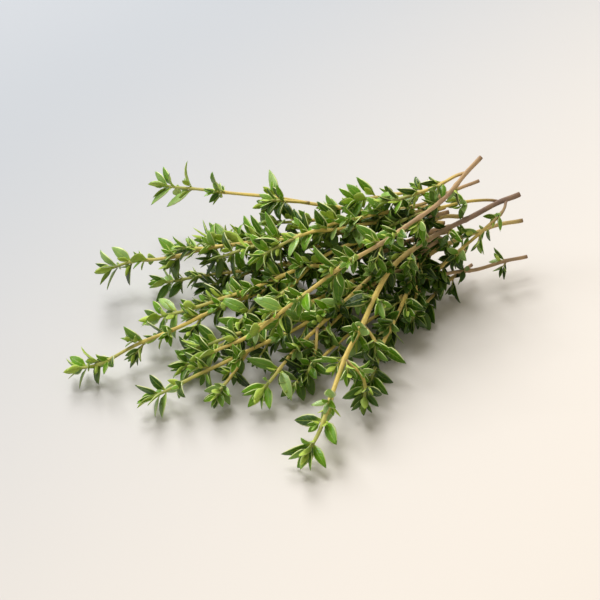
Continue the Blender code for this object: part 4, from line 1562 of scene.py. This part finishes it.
@dataclass
class Bunch:
    """The whole bunch of thyme: its sprigs, laid out, grown and dressed.

    Args:
        plans: the sprigs.
        layout: how their stems lie.
        growth: how their leaves grow.
        blade: shape of a leaf.
        tube: shape of a stem.
        seed: of the small differences between leaves.
        light: unit direction that most light comes from, towards which the leaves' painted shade
            is worked out.
    """

    plans: Sequence[SprigPlan] = SPRIGS
    layout: Layout = field(default_factory=Layout)
    growth: Growth = field(default_factory=Growth)
    blade: LeafBlade = field(default_factory=LeafBlade)
    tube: StemTube = field(default_factory=StemTube)
    seed: int = 41
    light: tuple = (0.03, 0.48, 0.88)

    def build(self) -> int:
        """Build every sprig.

        Returns:
            The number of leaves.
        """
        mottle, veins = mottle_group(), vein_group()
        leaf = LeafFinish().material(mottle, veins)
        barks = {bark: BarkFinish(bark).material(mottle) for bark in Bark}
        strands = self.layout.strands(self.plans)
        sprigs = []
        for number, plan in enumerate(self.plans):
            own = [strand for strand in strands if strand.plan is plan]
            sprigs.append(GrownSprig(plan, own, np.random.default_rng(self.seed + number)))
            for place, strand in enumerate(own):
                self.growth.grow(sprigs[-1], strand, place)
        leaves = middles([one for sprig in sprigs for one in (*sprig.grown, *sprig.young)])
        for sprig in sprigs:
            self.build_sprig(sprig, leaves, leaf, barks[sprig.plan.bark])
        return len(leaves)

    def build_sprig(self, sprig: GrownSprig, crowd: Array, leaf: bpy.types.Material,
                    bark: bpy.types.Material) -> None:
        """Build one sprig's pieces.

        Args:
            sprig: the sprig with its leaves.
            crowd: middles of all the leaves of the bunch.
            leaf: finish of its leaves.
            bark: finish of its stem.
        """
        name = sprig.plan.name
        pieces = [(self.tube.build(name + "_stem", sprig, bark), "stem_bark")]
        for label, leaves in (("_grown_leaves", sprig.grown), ("_young_leaves", sprig.young)):
            if leaves:
                # Painted shade for the leaves, from how many others crowd over them towards the
                # light.
                shade = painted_crowd_shade(middles(leaves), crowd, np.array(self.light))
                pieces.append((self.blade.build(name + label, leaves, shade, leaf),
                               "leaf_green"))
        for piece, slot in pieces:
            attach(piece, "root")
            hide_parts(name)
        LOG.info("%s: %d grown and %d young leaves", name, len(sprig.grown), len(sprig.young))


# -------- the stage

@dataclass
class Camera:
    """A long lens that looks down on the bunch from its front left.

    Args:
        azimuth: round the bunch from -Y, in degrees.
        elevation: above the surface, in degrees.
        lens_mm: focal length.
        distance: from the target.
        target_mm: what it looks at, in the sprigs' own millimetres.
        clip: nearest and furthest that it sees.
    """

    azimuth: float = -25.0
    elevation: float = 38.0
    lens_mm: float = 85.0
    distance: float = 0.4293
    target_mm: tuple = (-0.5, -4.4, 12.0)
    clip: tuple = (0.01, 50.0)

    def back(self) -> Array:
        """Unit direction from the target to the camera."""
        turn, rise = math.radians(self.azimuth), math.radians(self.elevation)
        return np.array([math.sin(turn) * math.cos(rise), -math.cos(turn) * math.cos(rise),
                         math.sin(rise)])

    def build(self) -> None:
        """Put the camera in the scene."""
        data = bpy.data.cameras.new("camera")
        data.lens = self.lens_mm
        data.clip_start, data.clip_end = self.clip
        camera = put_in_scene("camera", data)
        back = Vector(self.back())
        camera.location = Vector((np.array(self.target_mm) - MIDDLE_MM) * MM)
        camera.location += back * self.distance
        camera.rotation_euler = back.to_track_quat("Z", "Y").to_euler()
        bpy.context.scene.camera = camera


class Lamp(NamedTuple):
    """A square soft light that looks at the origin.

    Args:
        name: of the light.
        place: to the right of the view, away from the viewer and up, in metres.
        size: of its sides.
        power: in watts.
        colour: of its light.
    """

    name: str
    place: tuple
    size: float
    power: float
    colour: Colour = (1.0, 0.985, 0.96)


@dataclass
class Studio:
    """Pale surface with painted light, darker at far left and brighter at near right, under soft
    light from behind on the left.

    Args:
        camera: whose view sets where left and behind are.
        far_left_shade: colour of the surface at the far left, darker and cooler: painted shade.
        near_right_light: colour of the surface at the near right, brighter and warmer: painted
            light.
        slope: how much further away counts against further left, for that change.
        change: where it starts and ends, from the origin.
        rough: the surface's roughness.
        specular: its specular level.
        half_size: half of its side.
        lamps: the lights.
        sky: colour of the light from all round.
        ambient: strength of that light.
    """

    camera: Camera
    far_left_shade: Colour = (0.410, 0.438, 0.491)
    near_right_light: Colour = (0.818, 0.767, 0.727)
    slope: float = 0.8
    change: tuple = (-0.185, 0.151)
    rough: float = 0.7
    specular: float = 0.2
    half_size: float = 4.0
    lamps: tuple = (Lamp("top", (-0.22, 0.26, 0.94), 0.42, 5.7),
                    Lamp("back", (-0.20, 0.72, 0.66), 0.36, 5.5),
                    Lamp("left", (-0.76, 0.0, 0.65), 0.36, 1.8, (0.97, 0.98, 1.0)))
    sky: Colour = (1.0, 0.925, 0.740)
    ambient: float = 0.38

    def axes(self) -> Array:
        """Directions to the right of the view, level away from the viewer, and up."""
        turn = math.radians(self.camera.azimuth)
        return np.array([[math.cos(turn), math.sin(turn), 0.0],
                         [-math.sin(turn), math.cos(turn), 0.0], [0.0, 0.0, 1.0]])

    def floor(self) -> None:
        """The surface, with painted light: a slow change from a darker, cooler colour at far left
        to a brighter, warmer one at near right.
        """
        corners = np.array([(-1, -1, 0), (1, -1, 0), (1, 1, 0), (-1, 1, 0)]) * self.half_size
        material, graph, shader = new_material("pale_surface")
        right, away, _ = self.axes()
        slope = unit(right - self.slope * away)
        x, y, _ = graph.parts(graph.place())
        way = graph.maths("MULTIPLY_ADD", x, float(slope[0]),
                          graph.maths("MULTIPLY", y, float(slope[1])))
        # Painted light: the surface darkens towards far left and brightens towards near right.
        colour = graph.blend(graph.ease(way, *self.change), self.far_left_shade, self.near_right_light)
        graph.fill(shader, {"Base Color": colour, "Roughness": self.rough,
                            "Specular IOR Level": self.specular})
        floor = write_mesh("surface", corners, [np.array([[0, 1, 2, 3]])], {}, material)

    def light(self, lamp: Lamp) -> None:
        """Put one lamp in the scene."""
        data = bpy.data.lights.new(lamp.name, "AREA")
        data.shape = "SQUARE"
        data.size, data.energy, data.color = lamp.size, lamp.power, lamp.colour
        made = put_in_scene(lamp.name, data)
        made.location = Vector(np.array(lamp.place) @ self.axes())
        made.rotation_euler = made.location.to_track_quat("Z", "Y").to_euler()

    def build(self) -> None:
        """Put the surface, the lights and the surrounding light in the scene."""
        self.floor()
        for lamp in self.lamps:
            self.light(lamp)
        world = bpy.data.worlds.new("soft_surroundings")
        world.use_nodes = True
        tree = world.node_tree
        Graph(tree).fill(tree.nodes["Background"], {"Color": self.sky, "Strength": self.ambient})
        bpy.context.scene.world = world
        bpy.context.scene.view_settings.view_transform = "Standard"


def main() -> None:
    """Set the stage, build the bunch and report it."""
    logging.basicConfig(level=logging.INFO, format="%(name)s: %(message)s", stream=sys.stdout)
    camera = Camera()
    camera.build()
    Studio(camera).build()
    leaves = Bunch().build()
    LOG.info("%d leaves in all", leaves)


if __name__ == "__main__":
    main()
